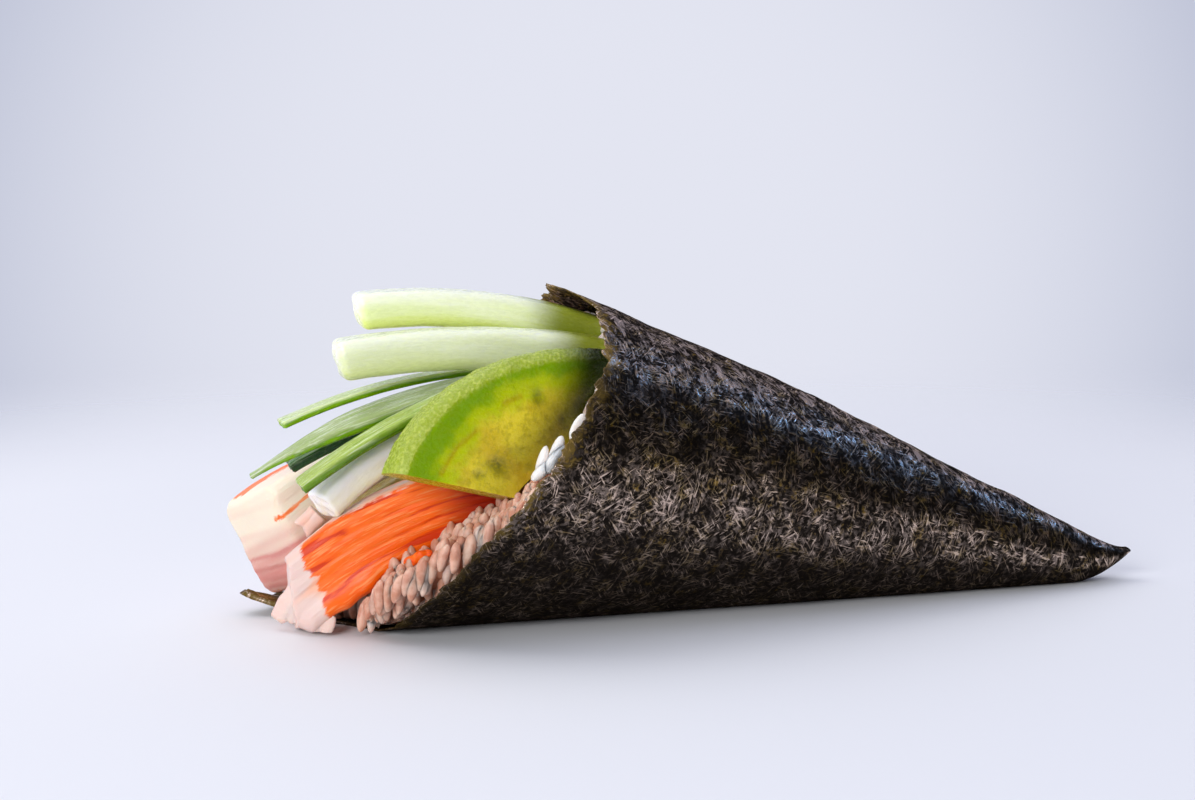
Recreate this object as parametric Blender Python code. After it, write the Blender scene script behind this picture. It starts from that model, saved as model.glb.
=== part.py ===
"""Temaki hand roll: a sheet of nori wrapped into a cone round rice and a fan of fillings.

Sizes are in millimetres until make_object turns them into metres. While modelling, +X runs
along the table from the mouth of the cone to its point, +Y is the far side and +Z is up, with
the table at z = 0. Angles round the cone are in degrees from its top: 90 is the near side,
180 the table and 270 the far side. At the end centre_on_base moves the whole roll so that the
middle of its footprint is the origin.
"""
from dataclasses import dataclass, replace
from math import cos, floor, hypot, pi, radians, sin, sqrt, tau

import bmesh
import bpy
from mathutils import Matrix, Vector

MM = 0.001
GAP = 0.3                  # air left between pieces that touch

# The cone of nori.
POINT_X = 137.5            # how far the point lies from the mouth's lower lip
POINT_Z = 6.0              # the point is pinched up off the table
SLOPE = 0.520              # fall of the top line towards the point
SLOPE_ENDS = 135.4         # where the falling top line reaches the height of the point
SLOPE_BLEND = 1.0          # softens the corner between the two
DROOP_X = 66.0             # from here to the mouth the top line rises less
DROOP_SLOPE = 0.083
DROOP_BLEND = 8.0
HEEL_X = 124.5             # the underside leaves the table here
HEEL_LENGTH = 13.0
HEEL_POWER = 2.2
HEEL_PINCH = 0.55          # share of the heel's rise by which the cone also narrows
AXIS_LEAN = 0.045          # the axis lies further back towards the mouth
PRESSED = 0.02             # share of the height that the table presses flat
SHEET = 0.6                # thickness of the nori
HOLLOW_END = 121.0         # the wrap is solid from here to its point

# Where the wrap's edge lies, as (angle, x): the near edge slopes down to the left, a corner
# of the sheet runs out over the table, and the far edge climbs back to a corner at the top.
WRAP_EDGE = (
    (0, 26.8), (22, 28.3), (40, 27.4), (58, 24.2), (75, 19.6), (95, 11.5), (107, 6.0),
    (118, 1.0), (129, -2.8), (141, -7.2), (154, -10.5), (166, -13.5), (176, -18.5),
    (184, -26.0), (191, -36.4), (199, -28.0), (215, -9.0), (240, 4.5), (270, 15.0),
    (310, 21.5), (336, 24.5), (349, 23.8),
)
TONGUE_LIFT_FROM = -21.0   # the sheet's corner curls up off the table beyond this
TONGUE_LIFT = 4.0
TONGUE_LENGTH = 13.0
TONGUE_POWER = 1.5

# Where the rice starts, as (angle, x): a lip below the near side, set back elsewhere.
RICE_EDGE = (
    (0, 33.0), (40, 30.0), (58, 23.0), (75, 18.0), (95, 9.8), (107, 4.0), (118, -3.0),
    (129, -9.0), (141, -14.0), (155, -16.0), (170, -13.0), (187, -9.0), (210, -2.0),
    (240, 9.0), (270, 18.0), (310, 26.0), (340, 31.0),
)
RICE_HEART = (19.0, 4.0, 29.0)     # the middle of the rice's uneven face
RICE_END = 119.0
RICE_BARE = (70.0, 165.0)          # angles where the rice can stand out of the nori
RICE_SHRINK = 0.32                 # and draws in, because no nori holds it there
RICE_BUMP = 0.7
RICE_HEAP = 1.5                    # the face bulges towards the mouth under the near crab stick
RICE_HEAP_ANGLE = 138.0

STICK_END_ROUND = 0.5      # rounding of the ends of the sticks
STICK_END_SHRINK = 0.86    # size of the end face beside the stick's own section
STICK_CUT_REACH = 1.2      # a slanted cut fades out over this many thicknesses
RIDGE_PITCH = 2.2          # spacing of the long ridges of a crab stick

WRAP_SIDES = 48
WRAP_RINGS = 13
HOLLOW_RINGS = 9
RICE_SIDES = 32
RICE_RINGS = 9
RICE_FACE_RINGS = 4


@dataclass
class Stick:
    """A cut strip that follows a smooth bend through three points on its centre line."""
    name: str
    finish: str
    tip: tuple             # the free end
    mouth: tuple           # a point near the mouth of the cone
    root: tuple            # the end inside the rice
    width: float           # across the table
    height: float
    tip_width: float = 0.0     # sizes at the free end, where they differ
    tip_height: float = 0.0
    taper: float = 0.3         # share of the length over which the end changes size
    corner: float = 0.25       # corner radius as a share of the smaller side
    roll: float = 0.0          # degrees that the near edge is turned down
    slant: float = 0.0         # how far the free end's cut leans, near side to far side
    rake: float = 0.0          # how far it leans, top to bottom
    ragged: float = 0.0        # unevenness of the cut end
    ridges: float = 0.0        # depth of the long ridges of a crab stick
    stations: int = 8


CUCUMBERS = (
    Stick("cucumber_top", "cucumber", (-13.0, 10.0, 56.5), (17.5, 9.4, 54.8), (45.0, 8.5, 44.8),
          7.0, 6.8, rake=-0.15),
    Stick("cucumber_second", "cucumber", (-18.0, 3.0, 48.6), (12.0, 2.0, 49.9), (43.0, 0.5, 44.8),
          7.4, 7.4, rake=-0.1),
    Stick("strip_far", "cucumber_skin", (-27.4, 8.0, 36.7), (-2.0, 9.5, 43.7), (25.0, 10.5, 44.5),
          4.6, 1.4),
    Stick("strip_pointed", "cucumber_skin", (-34.6, -2.5, 29.2), (-6.0, -1.2, 41.1), (26.0, 5.0, 43.6),
          6.0, 2.4, tip_width=1.6, tip_height=0.7, taper=0.35, roll=12),
    Stick("strip_dark", "cucumber_skin", (-26.8, 3.2, 29.9), (-6.0, 3.8, 38.2), (22.0, 4.6, 40.4),
          4.6, 2.2, roll=8),
    Stick("strip_near", "cucumber_skin", (-26.4, -7.0, 27.9), (-9.0, -7.0, 38.4), (7.0, -6.1, 44.6),
          4.2, 2.1, roll=12),
    Stick("stick_pale", "cucumber_heart", (-21.8, -2.0, 23.2), (-5.4, -2.3, 35.0), (34.0, -3.3, 34.2),
          6.0, 6.0, roll=14, slant=0.35, rake=0.2),
    Stick("stick_shaded", "cucumber", (-18.8, 7.2, 14.4), (-3.4, 6.8, 25.0), (37.0, 3.6, 29.5),
          5.0, 5.6),
)

CRAB_STICKS = (
    Stick("crab_near", "crab", (-27.2, 0.8, 7.1), (0.4, -5.5, 23.2), (36.0, -6.0, 22.0),
          8.0, 12.6, tip_height=10.8, slant=0.35, rake=0.7, ragged=0.9, ridges=0.28, stations=11),
    Stick("crab_far", "crab", (-28.9, 15.6, 13.2), (-5.0, 15.8, 26.0), (38.0, 11.0, 26.0),
          10.0, 12.0, tip_width=11.5, tip_height=19.5, taper=0.5, corner=0.16, slant=0.75, ragged=0.7,
          ridges=0.28, stations=10),
    Stick("crab_flake", "crab", (-24.0, 6.3, 17.4), (-22.6, 6.0, 18.9), (-21.2, 5.7, 20.4),
          2.4, 4.0, tip_height=4.8, ragged=0.5, stations=3),
)

# The avocado slice: a quarter of a ring of flesh between the skin and the stone.
AVOCADO_CENTRE = (22.0, -18.5, 24.0)   # where the stone's middle was, on the near face
AVOCADO_TURN = 10.0                    # the near face looks a little towards the mouth
AVOCADO_LEAN = 12.0                    # and leans back
AVOCADO_SKIN = (36.4, 28.3)            # half sizes of the skin's curve, along and up
AVOCADO_STONE = (13.4, 8.0)
AVOCADO_ARC = (162.0, 66.0)            # from the cross cut to the end inside the cone
AVOCADO_THICK_SKIN = 8.0
AVOCADO_THICK_STONE = 6.4
AVOCADO_ROUND = 1.0                    # rounding of the skin side
AVOCADO_BULGE = 0.2                    # the middle of the skin side stands out this far
AVOCADO_END_SHRINK = 0.92              # size of the end faces beside the slice's own section
AVOCADO_STEPS = 12

COLOURS = {
    "nori": ((0.018, 0.018, 0.012), 0.42),
    "rice": ((0.80, 0.76, 0.74), 0.45),
    "cucumber": ((0.62, 0.74, 0.34), 0.30),
    "cucumber_heart": ((0.76, 0.78, 0.62), 0.28),
    "cucumber_skin": ((0.22, 0.42, 0.05), 0.30),
    "avocado": ((0.52, 0.55, 0.08), 0.40),
    "crab": ((0.86, 0.25, 0.07), 0.38),
}


# ---- small helpers -------------------------------------------------------------------------

def smooth_step(value):
    """0 below 0, 1 above 1, and an even S between them."""
    t = min(max(value, 0.0), 1.0)
    return t * t * (3.0 - 2.0 * t)


def blend(start, end, share):
    return start + (end - start) * share


def around(points, angle):
    """Read a closed curve of (angle, value) points smoothly at any angle."""
    count = len(points)
    turn = angle % 360.0
    index = max(i for i in range(count) if points[i][0] <= turn)

    def knot(i):
        lap = floor(i / count)
        return points[i % count][0] + 360.0 * lap, points[i % count][1]

    (a0, v0), (a1, v1), (a2, v2), (a3, v3) = (knot(index + step) for step in (-1, 0, 1, 2))
    t = (turn - a1) / (a2 - a1)
    slope_1 = (v2 - v0) / (a2 - a0) * (a2 - a1)
    slope_2 = (v3 - v1) / (a3 - a1) * (a2 - a1)
    return ((2 * t**3 - 3 * t**2 + 1) * v1 + (t**3 - 2 * t**2 + t) * slope_1
            + (3 * t**2 - 2 * t**3) * v2 + (t**3 - t**2) * slope_2)


def make_object(name, rings, finish, start=None, end=None):
    """Join rings of points into one closed body, each end closed by a fan round its middle."""
    mesh_edit = bmesh.new()
    loops = [[mesh_edit.verts.new(Vector(point) * MM) for point in ring] for ring in rings]
    sides = len(loops[0])
    for near, far in zip(loops, loops[1:]):
        for i in range(sides):
            j = (i + 1) % sides
            mesh_edit.faces.new((near[i], near[j], far[j], far[i]))
    for loop, middle, flip in ((loops[0], start, True), (loops[-1], end, False)):
        if middle is None:
            middle = sum((vert.co for vert in loop), Vector()) / sides / MM
        centre = mesh_edit.verts.new(Vector(middle) * MM)
        for i in range(sides):
            j = (i + 1) % sides
            corners = (loop[j], loop[i], centre) if flip else (loop[i], loop[j], centre)
            mesh_edit.faces.new(corners)
    bmesh.ops.triangulate(mesh_edit, faces=mesh_edit.faces)
    bmesh.ops.recalc_face_normals(mesh_edit, faces=mesh_edit.faces)
    mesh = bpy.data.meshes.new(name)
    mesh_edit.to_mesh(mesh)
    mesh_edit.free()
    mesh.shade_smooth()
    mesh.set_sharp_from_angle(angle=radians(40))
    mesh.materials.append(material(finish))
    thing = bpy.data.objects.new(name, mesh)
    bpy.context.scene.collection.objects.link(thing)
    return thing


def material(finish):
    """One plain Principled material for each kind of surface."""
    found = bpy.data.materials.get(finish)
    if found:
        return found
    colour, roughness = COLOURS[finish]
    made = bpy.data.materials.new(finish)
    made.use_nodes = True
    shader = made.node_tree.nodes["Principled BSDF"]
    shader.inputs["Base Color"].default_value = (*colour, 1.0)
    shader.inputs["Roughness"].default_value = roughness
    shader.inputs["Metallic"].default_value = 0.0
    return made


# ---- the cone ------------------------------------------------------------------------------

def soft_ramp(value, softness):
    """0 below 0 and the value itself above 0, with the corner rounded off."""
    return 0.5 * (value + sqrt(value * value + softness * softness))


def wrap_top(x):
    """Height of the cone's top line."""
    rise = soft_ramp(SLOPE * (SLOPE_ENDS - x), SLOPE_BLEND)
    return POINT_Z + rise - DROOP_SLOPE * soft_ramp(DROOP_X - x, DROOP_BLEND)


def wrap_underside(x):
    """Height of the underside: on the table, then curving up to the pinched point."""
    return (POINT_Z - SHEET) * max((x - HEEL_X) / HEEL_LENGTH, 0.0) ** HEEL_POWER


def tongue_lift(x):
    """How far the loose corner of the sheet curls up."""
    return TONGUE_LIFT * max((TONGUE_LIFT_FROM - x) / TONGUE_LENGTH, 0.0) ** TONGUE_POWER


def cone_point(x, angle, inset):
    """The point of the cone at this x and angle, moved inwards by inset."""
    top = wrap_top(x)
    low = wrap_underside(x)
    rise = 0.5 * (1.0 + PRESSED) * (top - low)
    reach = 0.5 * (top - HEEL_PINCH * low)
    y = AXIS_LEAN * (POINT_X - x) - (reach - inset) * sin(radians(angle))
    z = max(top - rise + (rise - inset) * cos(radians(angle)), low + inset)
    return x, y, z + tongue_lift(x)


def cone_ring(edge, sides, share, far_x, inset):
    """One ring of cone points, that share of the way from the edge curve to far_x."""
    ring = []
    for i in range(sides):
        angle = 360.0 * i / sides
        x = blend(around(edge, angle), far_x, share)
        ring.append(cone_point(x, angle, inset))
    return ring


def make_wrap():
    """The nori: an outer skin from the edge to the point and a hollow inside it."""
    outer = [cone_ring(WRAP_EDGE, WRAP_SIDES, share, POINT_X, 0.0)
             for share in ring_shares(WRAP_RINGS)]
    hollow = [cone_ring(WRAP_EDGE, WRAP_SIDES, share, HOLLOW_END, SHEET)
              for share in ring_shares(HOLLOW_RINGS)]
    return make_object("nori_wrap", hollow[::-1] + outer, "nori")


def ring_shares(count):
    """Shares from 0 to 1, closer together at both ends."""
    return [0.5 * i / (count - 1) + 0.25 * (1.0 - cos(pi * i / (count - 1))) for i in range(count)]


def rice_inset(x, angle):
    """Inset of the rice: against the nori, and drawn in where it stands out of it."""
    bare = 0.0
    if RICE_BARE[0] < angle < RICE_BARE[1]:
        bare = max(around(WRAP_EDGE, angle) - x, 0.0)
    return SHEET + GAP + RICE_SHRINK * bare


def rice_bump(x, angle):
    """Gentle lumps the size of a few grains."""
    turn = radians(angle)
    return RICE_BUMP * sin(9.0 * turn + 0.35 * x) * sin(5.0 * turn - 0.8 * x + 1.0)


def make_rice():
    """The rice: it fills the cone, with an uneven face at the mouth."""
    side = []
    for share in ring_shares(RICE_RINGS):
        ring = []
        for i in range(RICE_SIDES):
            angle = 360.0 * i / RICE_SIDES
            x = blend(around(RICE_EDGE, angle), RICE_END, share)
            ring.append(cone_point(x, angle, rice_inset(x, angle)))
        side.append(ring)
    face = []
    for step in range(1, RICE_FACE_RINGS + 1):
        share = 1.0 - step / (RICE_FACE_RINGS + 1.0)
        ring = []
        for i, rim in enumerate(side[0]):
            angle = 360.0 * i / RICE_SIDES
            lump = rice_bump(rim[0] * share, angle + 40.0 * share)
            point = [blend(heart, edge, share) for heart, edge in zip(RICE_HEART, rim)]
            heap = max(cos(radians(angle - RICE_HEAP_ANGLE)), 0.0) ** 4 * sin(pi * share)
            point[0] += 2.0 * lump - RICE_HEAP * heap
            ring.append(tuple(point))
        face.append(ring)
    return make_object("rice", face[::-1] + side, "rice", start=RICE_HEART)


# ---- sticks --------------------------------------------------------------------------------

def bend_point(stick, share):
    """Point and direction on the parabola through the stick's tip, mouth and root."""
    tip, mouth, root = (Vector(point) for point in (stick.tip, stick.mouth, stick.root))
    first = (mouth - tip).length
    middle = first / (first + (root - mouth).length)
    to_mouth = (mouth - tip) / middle
    curve = ((root - tip) - to_mouth) / (1.0 - middle)
    point = tip + to_mouth * share + curve * share * (share - middle)
    direction = to_mouth + curve * (2.0 * share - middle)
    return point, direction.normalized()


def rounded_section(width, height, corner, ridges, sides_per_corner=3):
    """A rectangle with round corners, as (across, up) points in order."""
    radius = corner * min(width, height)
    points = []
    for quarter in range(4):
        middle = (quarter + 0.5) * tau / 4.0
        across = (width / 2.0 - radius) * (1 if cos(middle) > 0 else -1)
        up = (height / 2.0 - radius) * (1 if sin(middle) > 0 else -1)
        for step in range(sides_per_corner):
            turn = quarter * tau / 4.0 + step / (sides_per_corner - 1.0) * tau / 4.0
            points.append((across + radius * cos(turn), up + radius * sin(turn)))
    return add_ridges(points, ridges) if ridges else points


def add_ridges(points, depth):
    """Split the long sides of a section and sink every second new point."""
    ridged = []
    for i, (across, up) in enumerate(points):
        ahead = points[(i + 1) % len(points)]
        ridged.append((across, up))
        span = hypot(ahead[0] - across, ahead[1] - up)
        pieces = int(span / RIDGE_PITCH)
        for step in range(1, pieces):
            share = step / pieces
            sink = 1.0 - depth * (step % 2) / hypot(blend(across, ahead[0], share),
                                                    blend(up, ahead[1], share))
            ridged.append((blend(across, ahead[0], share) * sink, blend(up, ahead[1], share) * sink))
    return ridged


def stick_rings(stick, grow):
    """Rings along the stick, with its ends a little rounded."""
    length = (Vector(stick.mouth) - Vector(stick.tip)).length + (
        Vector(stick.root) - Vector(stick.mouth)).length
    rounding = STICK_END_ROUND / length
    inner = [blend(rounding, 1.0 - rounding, i / (stick.stations - 1.0))
             for i in range(stick.stations)]
    shares = [-grow / length] + inner + [1.0 + grow / length]
    plain = rounded_section(stick.width, stick.height, stick.corner, stick.ridges)
    rings = []
    for order, share in enumerate(shares):
        point, ahead = bend_point(stick, share)
        near = ahead.cross(Vector((0, 0, 1))).normalized()
        turn = Matrix.Rotation(radians(stick.roll), 3, ahead)
        near = turn @ near
        up = near.cross(ahead)
        at_end = order in (0, len(shares) - 1)
        pull = STICK_END_SHRINK if at_end else 1.0
        taper = smooth_step(share / stick.taper)
        wide = blend((stick.tip_width or stick.width) / stick.width, 1.0, taper)
        high = blend((stick.tip_height or stick.height) / stick.height, 1.0, taper)
        fade = STICK_CUT_REACH * max(stick.width, stick.height)
        cut = max(1.0 - share * length / fade, 0.0)
        ring = []
        for number, (across, rise) in enumerate(plain):
            across *= wide * pull * (1.0 + 2.0 * grow / stick.width)
            rise *= high * pull * (1.0 + 2.0 * grow / stick.height)
            back = cut * (stick.slant * across + stick.rake * rise)
            if at_end and share < 0.5:
                back += stick.ragged * sin(2.4 * number) * sin(1.1 * number + 0.5)
            ring.append(point + near * across + up * rise + ahead * back)
        rings.append(ring)
    return rings


def make_stick(stick, grow=0.0):
    return make_object(stick.name, stick_rings(stick, grow), stick.finish)


# ---- avocado -------------------------------------------------------------------------------

def make_avocado(grow=0.0):
    """A wedge-like slice: its outline runs along the skin and back along the stone's hollow."""
    turn = Matrix.Rotation(radians(AVOCADO_TURN), 3, "Z") @ Matrix.Rotation(
        radians(-AVOCADO_LEAN), 3, "X")
    rings = []
    start, stop = AVOCADO_ARC
    for step in range(AVOCADO_STEPS + 1):
        share = step / AVOCADO_STEPS
        angle = radians(blend(start, stop, share))
        stray = 0.0
        if step == 0:
            stray = grow
        elif step == AVOCADO_STEPS:
            stray = -grow
        outward = Vector((cos(angle), 0.0, sin(angle)))
        sideways = Vector((-sin(angle), 0.0, cos(angle)))
        skin = Vector((AVOCADO_SKIN[0] * cos(angle), 0.0, AVOCADO_SKIN[1] * sin(angle)))
        stone = Vector((AVOCADO_STONE[0] * cos(angle), 0.0, AVOCADO_STONE[1] * sin(angle)))
        skin += outward * grow
        stone -= outward * grow
        end_round = 1.0 if 0 < step < AVOCADO_STEPS else AVOCADO_END_SHRINK
        outline = (
            (stone, -grow),
            (skin - outward * AVOCADO_ROUND, -grow),
            (skin - outward * AVOCADO_BULGE, AVOCADO_ROUND - grow),
            (skin, 0.5 * AVOCADO_THICK_SKIN),
            (skin - outward * AVOCADO_BULGE, AVOCADO_THICK_SKIN - AVOCADO_ROUND + grow),
            (skin - outward * AVOCADO_ROUND, AVOCADO_THICK_SKIN + grow),
            (stone, AVOCADO_THICK_STONE + grow),
        )
        middle = (skin + stone) / 2.0
        ring = []
        for place, depth in outline:
            place = middle + (place - middle) * end_round
            local = place + Vector((0.0, depth, 0.0)) + sideways * stray
            ring.append(Vector(AVOCADO_CENTRE) + turn @ local)
        rings.append(ring)
    return make_object("avocado_slice", rings, "avocado")


# ---- putting it together -------------------------------------------------------------------

def cut_from(body, cutters):
    """Cut each grown filling out of the rice and keep the one main body."""
    for cutter in cutters:
        cutter.hide_render = True
        cutter.display_type = "WIRE"
        cut = body.modifiers.new(cutter.name, "BOOLEAN")
        cut.operation = "DIFFERENCE"
        cut.solver = "EXACT"
        cut.object = cutter
    bpy.context.view_layer.update()
    evaluated = body.evaluated_get(bpy.context.evaluated_depsgraph_get())
    result = bpy.data.meshes.new_from_object(evaluated)
    body.modifiers.clear()
    body.data = result
    for cutter in cutters:
        bpy.data.objects.remove(cutter)
    keep_main_body(result)


def keep_main_body(mesh):
    """Drop the crumbs that a cut leaves between two fillings."""
    mesh_edit = bmesh.new()
    mesh_edit.from_mesh(mesh)
    waiting = set(mesh_edit.verts)
    bodies = []
    while waiting:
        edge = [waiting.pop()]
        body = set(edge)
        while edge:
            vert = edge.pop()
            for link in vert.link_edges:
                other = link.other_vert(vert)
                if other in waiting:
                    waiting.discard(other)
                    body.add(other)
                    edge.append(other)
        bodies.append(body)
    main = max(bodies, key=len)
    crumbs = [vert for vert in mesh_edit.verts if vert not in main]
    bmesh.ops.delete(mesh_edit, geom=crumbs, context="VERTS")
    bmesh.ops.triangulate(mesh_edit, faces=mesh_edit.faces)
    mesh_edit.to_mesh(mesh)
    mesh_edit.free()


def centre_on_base(things):
    """Move the roll so that the middle of its footprint is the origin."""
    corners = [vert.co for thing in things for vert in thing.data.vertices]
    low = Vector(min(corner[i] for corner in corners) for i in range(3))
    high = Vector(max(corner[i] for corner in corners) for i in range(3))
    shift = Vector((-(low.x + high.x) / 2.0, -(low.y + high.y) / 2.0, -low.z))
    for thing in things:
        thing.data.transform(Matrix.Translation(shift))


def make_roll():
    """Clear the scene, make every piece and hollow the rice out for the fillings."""
    for thing in list(bpy.data.objects):
        bpy.data.objects.remove(thing)
    sticks = CUCUMBERS + CRAB_STICKS
    pieces = [make_wrap()] + [make_stick(stick) for stick in sticks] + [make_avocado()]
    cutters = [make_stick(replace(stick, name=stick.name + "_cutter"), GAP) for stick in sticks]
    cutters.append(make_avocado(GAP))
    rice = make_rice()
    cut_from(rice, cutters)
    centre_on_base(pieces + [rice])


make_roll()
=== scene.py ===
"""Temaki hand roll: the looks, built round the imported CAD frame.

Shapes are worked out in millimetres in the same modelling space as the CAD source: +X runs
from the mouth of the cone to its point, +Y is the far side, +Z is up and the table is z = 0.
Angles round the cone are in degrees from its top: 90 is the near side, 180 the table and 270
the far side. add_piece moves the finished shapes into the frame and into metres.
"""

import random
from dataclasses import dataclass
from math import cos, pi, radians, sin, tan

import bmesh
import bpy
import numpy as np
from mathutils import Matrix, Vector, noise
from mathutils.bvhtree import BVHTree


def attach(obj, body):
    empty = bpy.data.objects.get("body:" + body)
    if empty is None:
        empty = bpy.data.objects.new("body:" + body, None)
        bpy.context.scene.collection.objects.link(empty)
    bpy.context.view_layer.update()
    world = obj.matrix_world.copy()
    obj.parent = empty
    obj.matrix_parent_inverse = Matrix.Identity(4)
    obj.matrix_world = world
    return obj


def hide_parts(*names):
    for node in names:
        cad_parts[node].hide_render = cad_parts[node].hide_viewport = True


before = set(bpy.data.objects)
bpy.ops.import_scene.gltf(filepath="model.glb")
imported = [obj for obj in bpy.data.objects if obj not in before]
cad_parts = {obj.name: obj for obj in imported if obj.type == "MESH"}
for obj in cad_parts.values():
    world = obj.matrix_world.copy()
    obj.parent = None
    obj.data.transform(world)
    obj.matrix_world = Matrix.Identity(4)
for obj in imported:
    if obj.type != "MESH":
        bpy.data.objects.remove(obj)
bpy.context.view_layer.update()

MM = 0.001

# The cone of nori, as in the CAD source.
POINT_X = 137.5
POINT_Z = 6.0
SLOPE = 0.520
SLOPE_ENDS = 135.4
SLOPE_BLEND = 1.0
DROOP_X = 66.0
DROOP_SLOPE = 0.083
DROOP_BLEND = 8.0
HEEL_X = 124.5
HEEL_LENGTH = 13.0
HEEL_POWER = 2.2
HEEL_PINCH = 0.55
AXIS_LEAN = 0.045
PRESSED = 0.02
CAD_SHEET = 0.6
HOLLOW_END = 121.0          # the sheet has an inner face only as far as this
WRAP_EDGE = (
    (0, 26.8), (22, 28.3), (40, 27.4), (58, 24.2), (75, 19.6), (95, 11.5), (107, 6.0),
    (118, 1.0), (129, -2.8), (141, -7.2), (154, -10.5), (166, -13.5), (176, -18.5),
    (184, -26.0), (191, -36.4), (199, -28.0), (215, -9.0), (240, 4.5), (270, 15.0),
    (310, 21.5), (336, 24.5), (349, 23.8),
)
TONGUE_LIFT_FROM = -21.0
TONGUE_LIFT = 4.0
TONGUE_LENGTH = 13.0
TONGUE_POWER = 1.5

# The sheet of nori.
NORI_SIDES = 400
NORI_RINGS = 150
NORI_INNER_RINGS = (1, 2, 4, 7, 11, 16, 22, 30, 40, 52, 66, 82, 100, 118)
NORI_THICK = 0.38
SEAM_AT_RIM = 346.0         # angle of the sheet's free edge at the rim and at the point
SEAM_AT_POINT = 296.0
SEAM_STEP = 0.3
SEAM_BLEND = 26.0           # degrees over which the step sinks back into the cone
TONGUE_MIDDLE = 191.0       # angle of the corner that lies out on the table
TONGUE_END = -34.2          # where that corner is torn off blunt
TONGUE_FOLD = 1.7           # it is this much thicker, folded on itself
CREASE_ANGLE = 148.0        # the inner layer's edge shows through low on the near side
CREASE_DEPTH = 0.16
# Degrees from the top: where the sheet turns slick, the band below that which is painted darker and
# less glossy as painted shade, and where the sheet turns dull and dark underneath, also painted shade.
CROWN = (60.0, 44.0)
PAINTED_DARK_BAND = ((44.0, 54.0), (84.0, 74.0))
UNDERNEATH = (94.0, 128.0)

# Rice.
GRAIN_SIZES = ((5.4, 6.4), (2.0, 2.5), (1.7, 2.1))    # length, width and thickness, least and most
GRAIN_SIDES = 9
GRAIN_RINGS = 8
GRAIN_CLEAR = 1.1           # from the outside of the nori
GRAIN_FLOOR = 0.7
STANDING = (100.0, 190.0)   # angles between which the grains stand on end
CORE_VOXEL = 1.1
CORE_INSET = 0.6
CORE_LUMPS = 0.55           # the core is uneven by this much, in lumps about as long as a grain
CORE_LUMP_SIZE = (3.4, 2.0, 2.0)
PINK_MIDDLE = 145.0         # angle round the cone where the rice is pinkest: painted shade and orange bounce light from the crab stick
WHITE_SPOT = (-4.6, -10.0, 9.5)    # the rice is whiter round here, painted light where grains catch it, and along the lip of the nori
LIP_PALE = 0.8

# Camera, on the frame's own axes.
CAMERA_AT = (-0.15019, -0.47653, 0.11728)
CAMERA_TURN = -15.42
CAMERA_DOWN = 9.0
CAMERA_VIEW = 25.0


# ---- numbers -------------------------------------------------------------------------------

def tone(red, green, blue):
    """A colour given as it looks on screen, 0 to 255, in the linear values shaders use."""
    linear = []
    for value in (red, green, blue):
        share = value / 255.0
        linear.append(share / 12.92 if share <= 0.04045 else ((share + 0.055) / 1.055) ** 2.4)
    return (*linear, 1.0)


def smooth_step(low, high, value):
    """0 at low, 1 at high, and an even S between them."""
    t = np.clip((value - low) / (high - low), 0.0, 1.0)
    return t * t * (3.0 - 2.0 * t)


def blend(start, end, share):
    return start + (end - start) * share


def waves(points, size, seed=0):
    """Smooth noise of about this size in millimetres, between -1 and 1, at each point."""
    shift = Vector((seed * 17.3, seed * 5.1, seed * 9.7))
    scale = np.ones(3) / np.asarray(size, float)
    flat = np.asarray(points, float).reshape(-1, 3) * scale
    values = [noise.noise(Vector(point) + shift) for point in flat]
    return np.array(values).reshape(np.shape(points)[:-1])


def uneven(points, depth, size, seed):
    """The points moved a little every way by noise of this depth and size."""
    return points + depth * np.stack([waves(points, size, seed + axis) for axis in range(3)], axis=-1)


def read_curve(points, angles):
    """Read a closed curve of (angle, value) points smoothly at every angle."""
    knots = np.array(points, float)
    lap = np.array((360.0, 0.0))
    knots = np.vstack((knots[-2:] - lap, knots, knots[:3] + lap))
    turn = np.mod(angles, 360.0)
    index = np.searchsorted(knots[:, 0], turn, side="right") - 1
    (a0, v0), (a1, v1), (a2, v2), (a3, v3) = (knots[index + step].T for step in (-1, 0, 1, 2))
    t = (turn - a1) / (a2 - a1)
    slope_1 = (v2 - v0) / (a2 - a0) * (a2 - a1)
    slope_2 = (v3 - v1) / (a3 - a1) * (a2 - a1)
    return ((2 * t**3 - 3 * t**2 + 1) * v1 + (t**3 - 2 * t**2 + t) * slope_1
            + (3 * t**2 - 2 * t**3) * v2 + (t**3 - t**2) * slope_2)


# ---- pieces --------------------------------------------------------------------------------

def frame_shift():
    """From the modelling space to the frame: where the CAD cone's point went."""
    verts = [vert.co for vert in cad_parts["nori_wrap"].data.vertices]
    far = max(co.x for co in verts)
    ring = [co for co in verts if co.x > far - 0.1 * MM]
    return Vector((far / MM - POINT_X, sum(co.y for co in ring) / len(ring) / MM, 0.0))


SHIFT = frame_shift()


def put_in_scene(name, data):
    thing = bpy.data.objects.new(name, data)
    bpy.context.scene.collection.objects.link(thing)
    return thing


def add_piece(name, points, faces, finish, node_name, values, uvs=None, sharp=None):
    """Make one piece of the roll from points in millimetres in the modelling space."""
    placed = (np.asarray(points, float).reshape(-1, 3) + np.array(SHIFT)) * MM
    mesh = bpy.data.meshes.new(name)
    mesh.from_pydata(placed.tolist(), [], faces)
    for key, numbers in values.items():
        layer = mesh.attributes.new(key, "FLOAT", "POINT")
        layer.data.foreach_set("value", np.asarray(numbers, np.float32).ravel())
    if uvs is not None:
        layer = mesh.uv_layers.new(name="sheet")
        layer.data.foreach_set("uv", np.asarray(uvs, np.float32).ravel())
    face_outwards(mesh)
    mesh.shade_smooth()
    if sharp:
        mesh.set_sharp_from_angle(angle=radians(sharp))
    mesh.materials.append(finish)
    piece = put_in_scene(name, mesh)
    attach(piece, "root")
    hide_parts(node_name)


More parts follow.
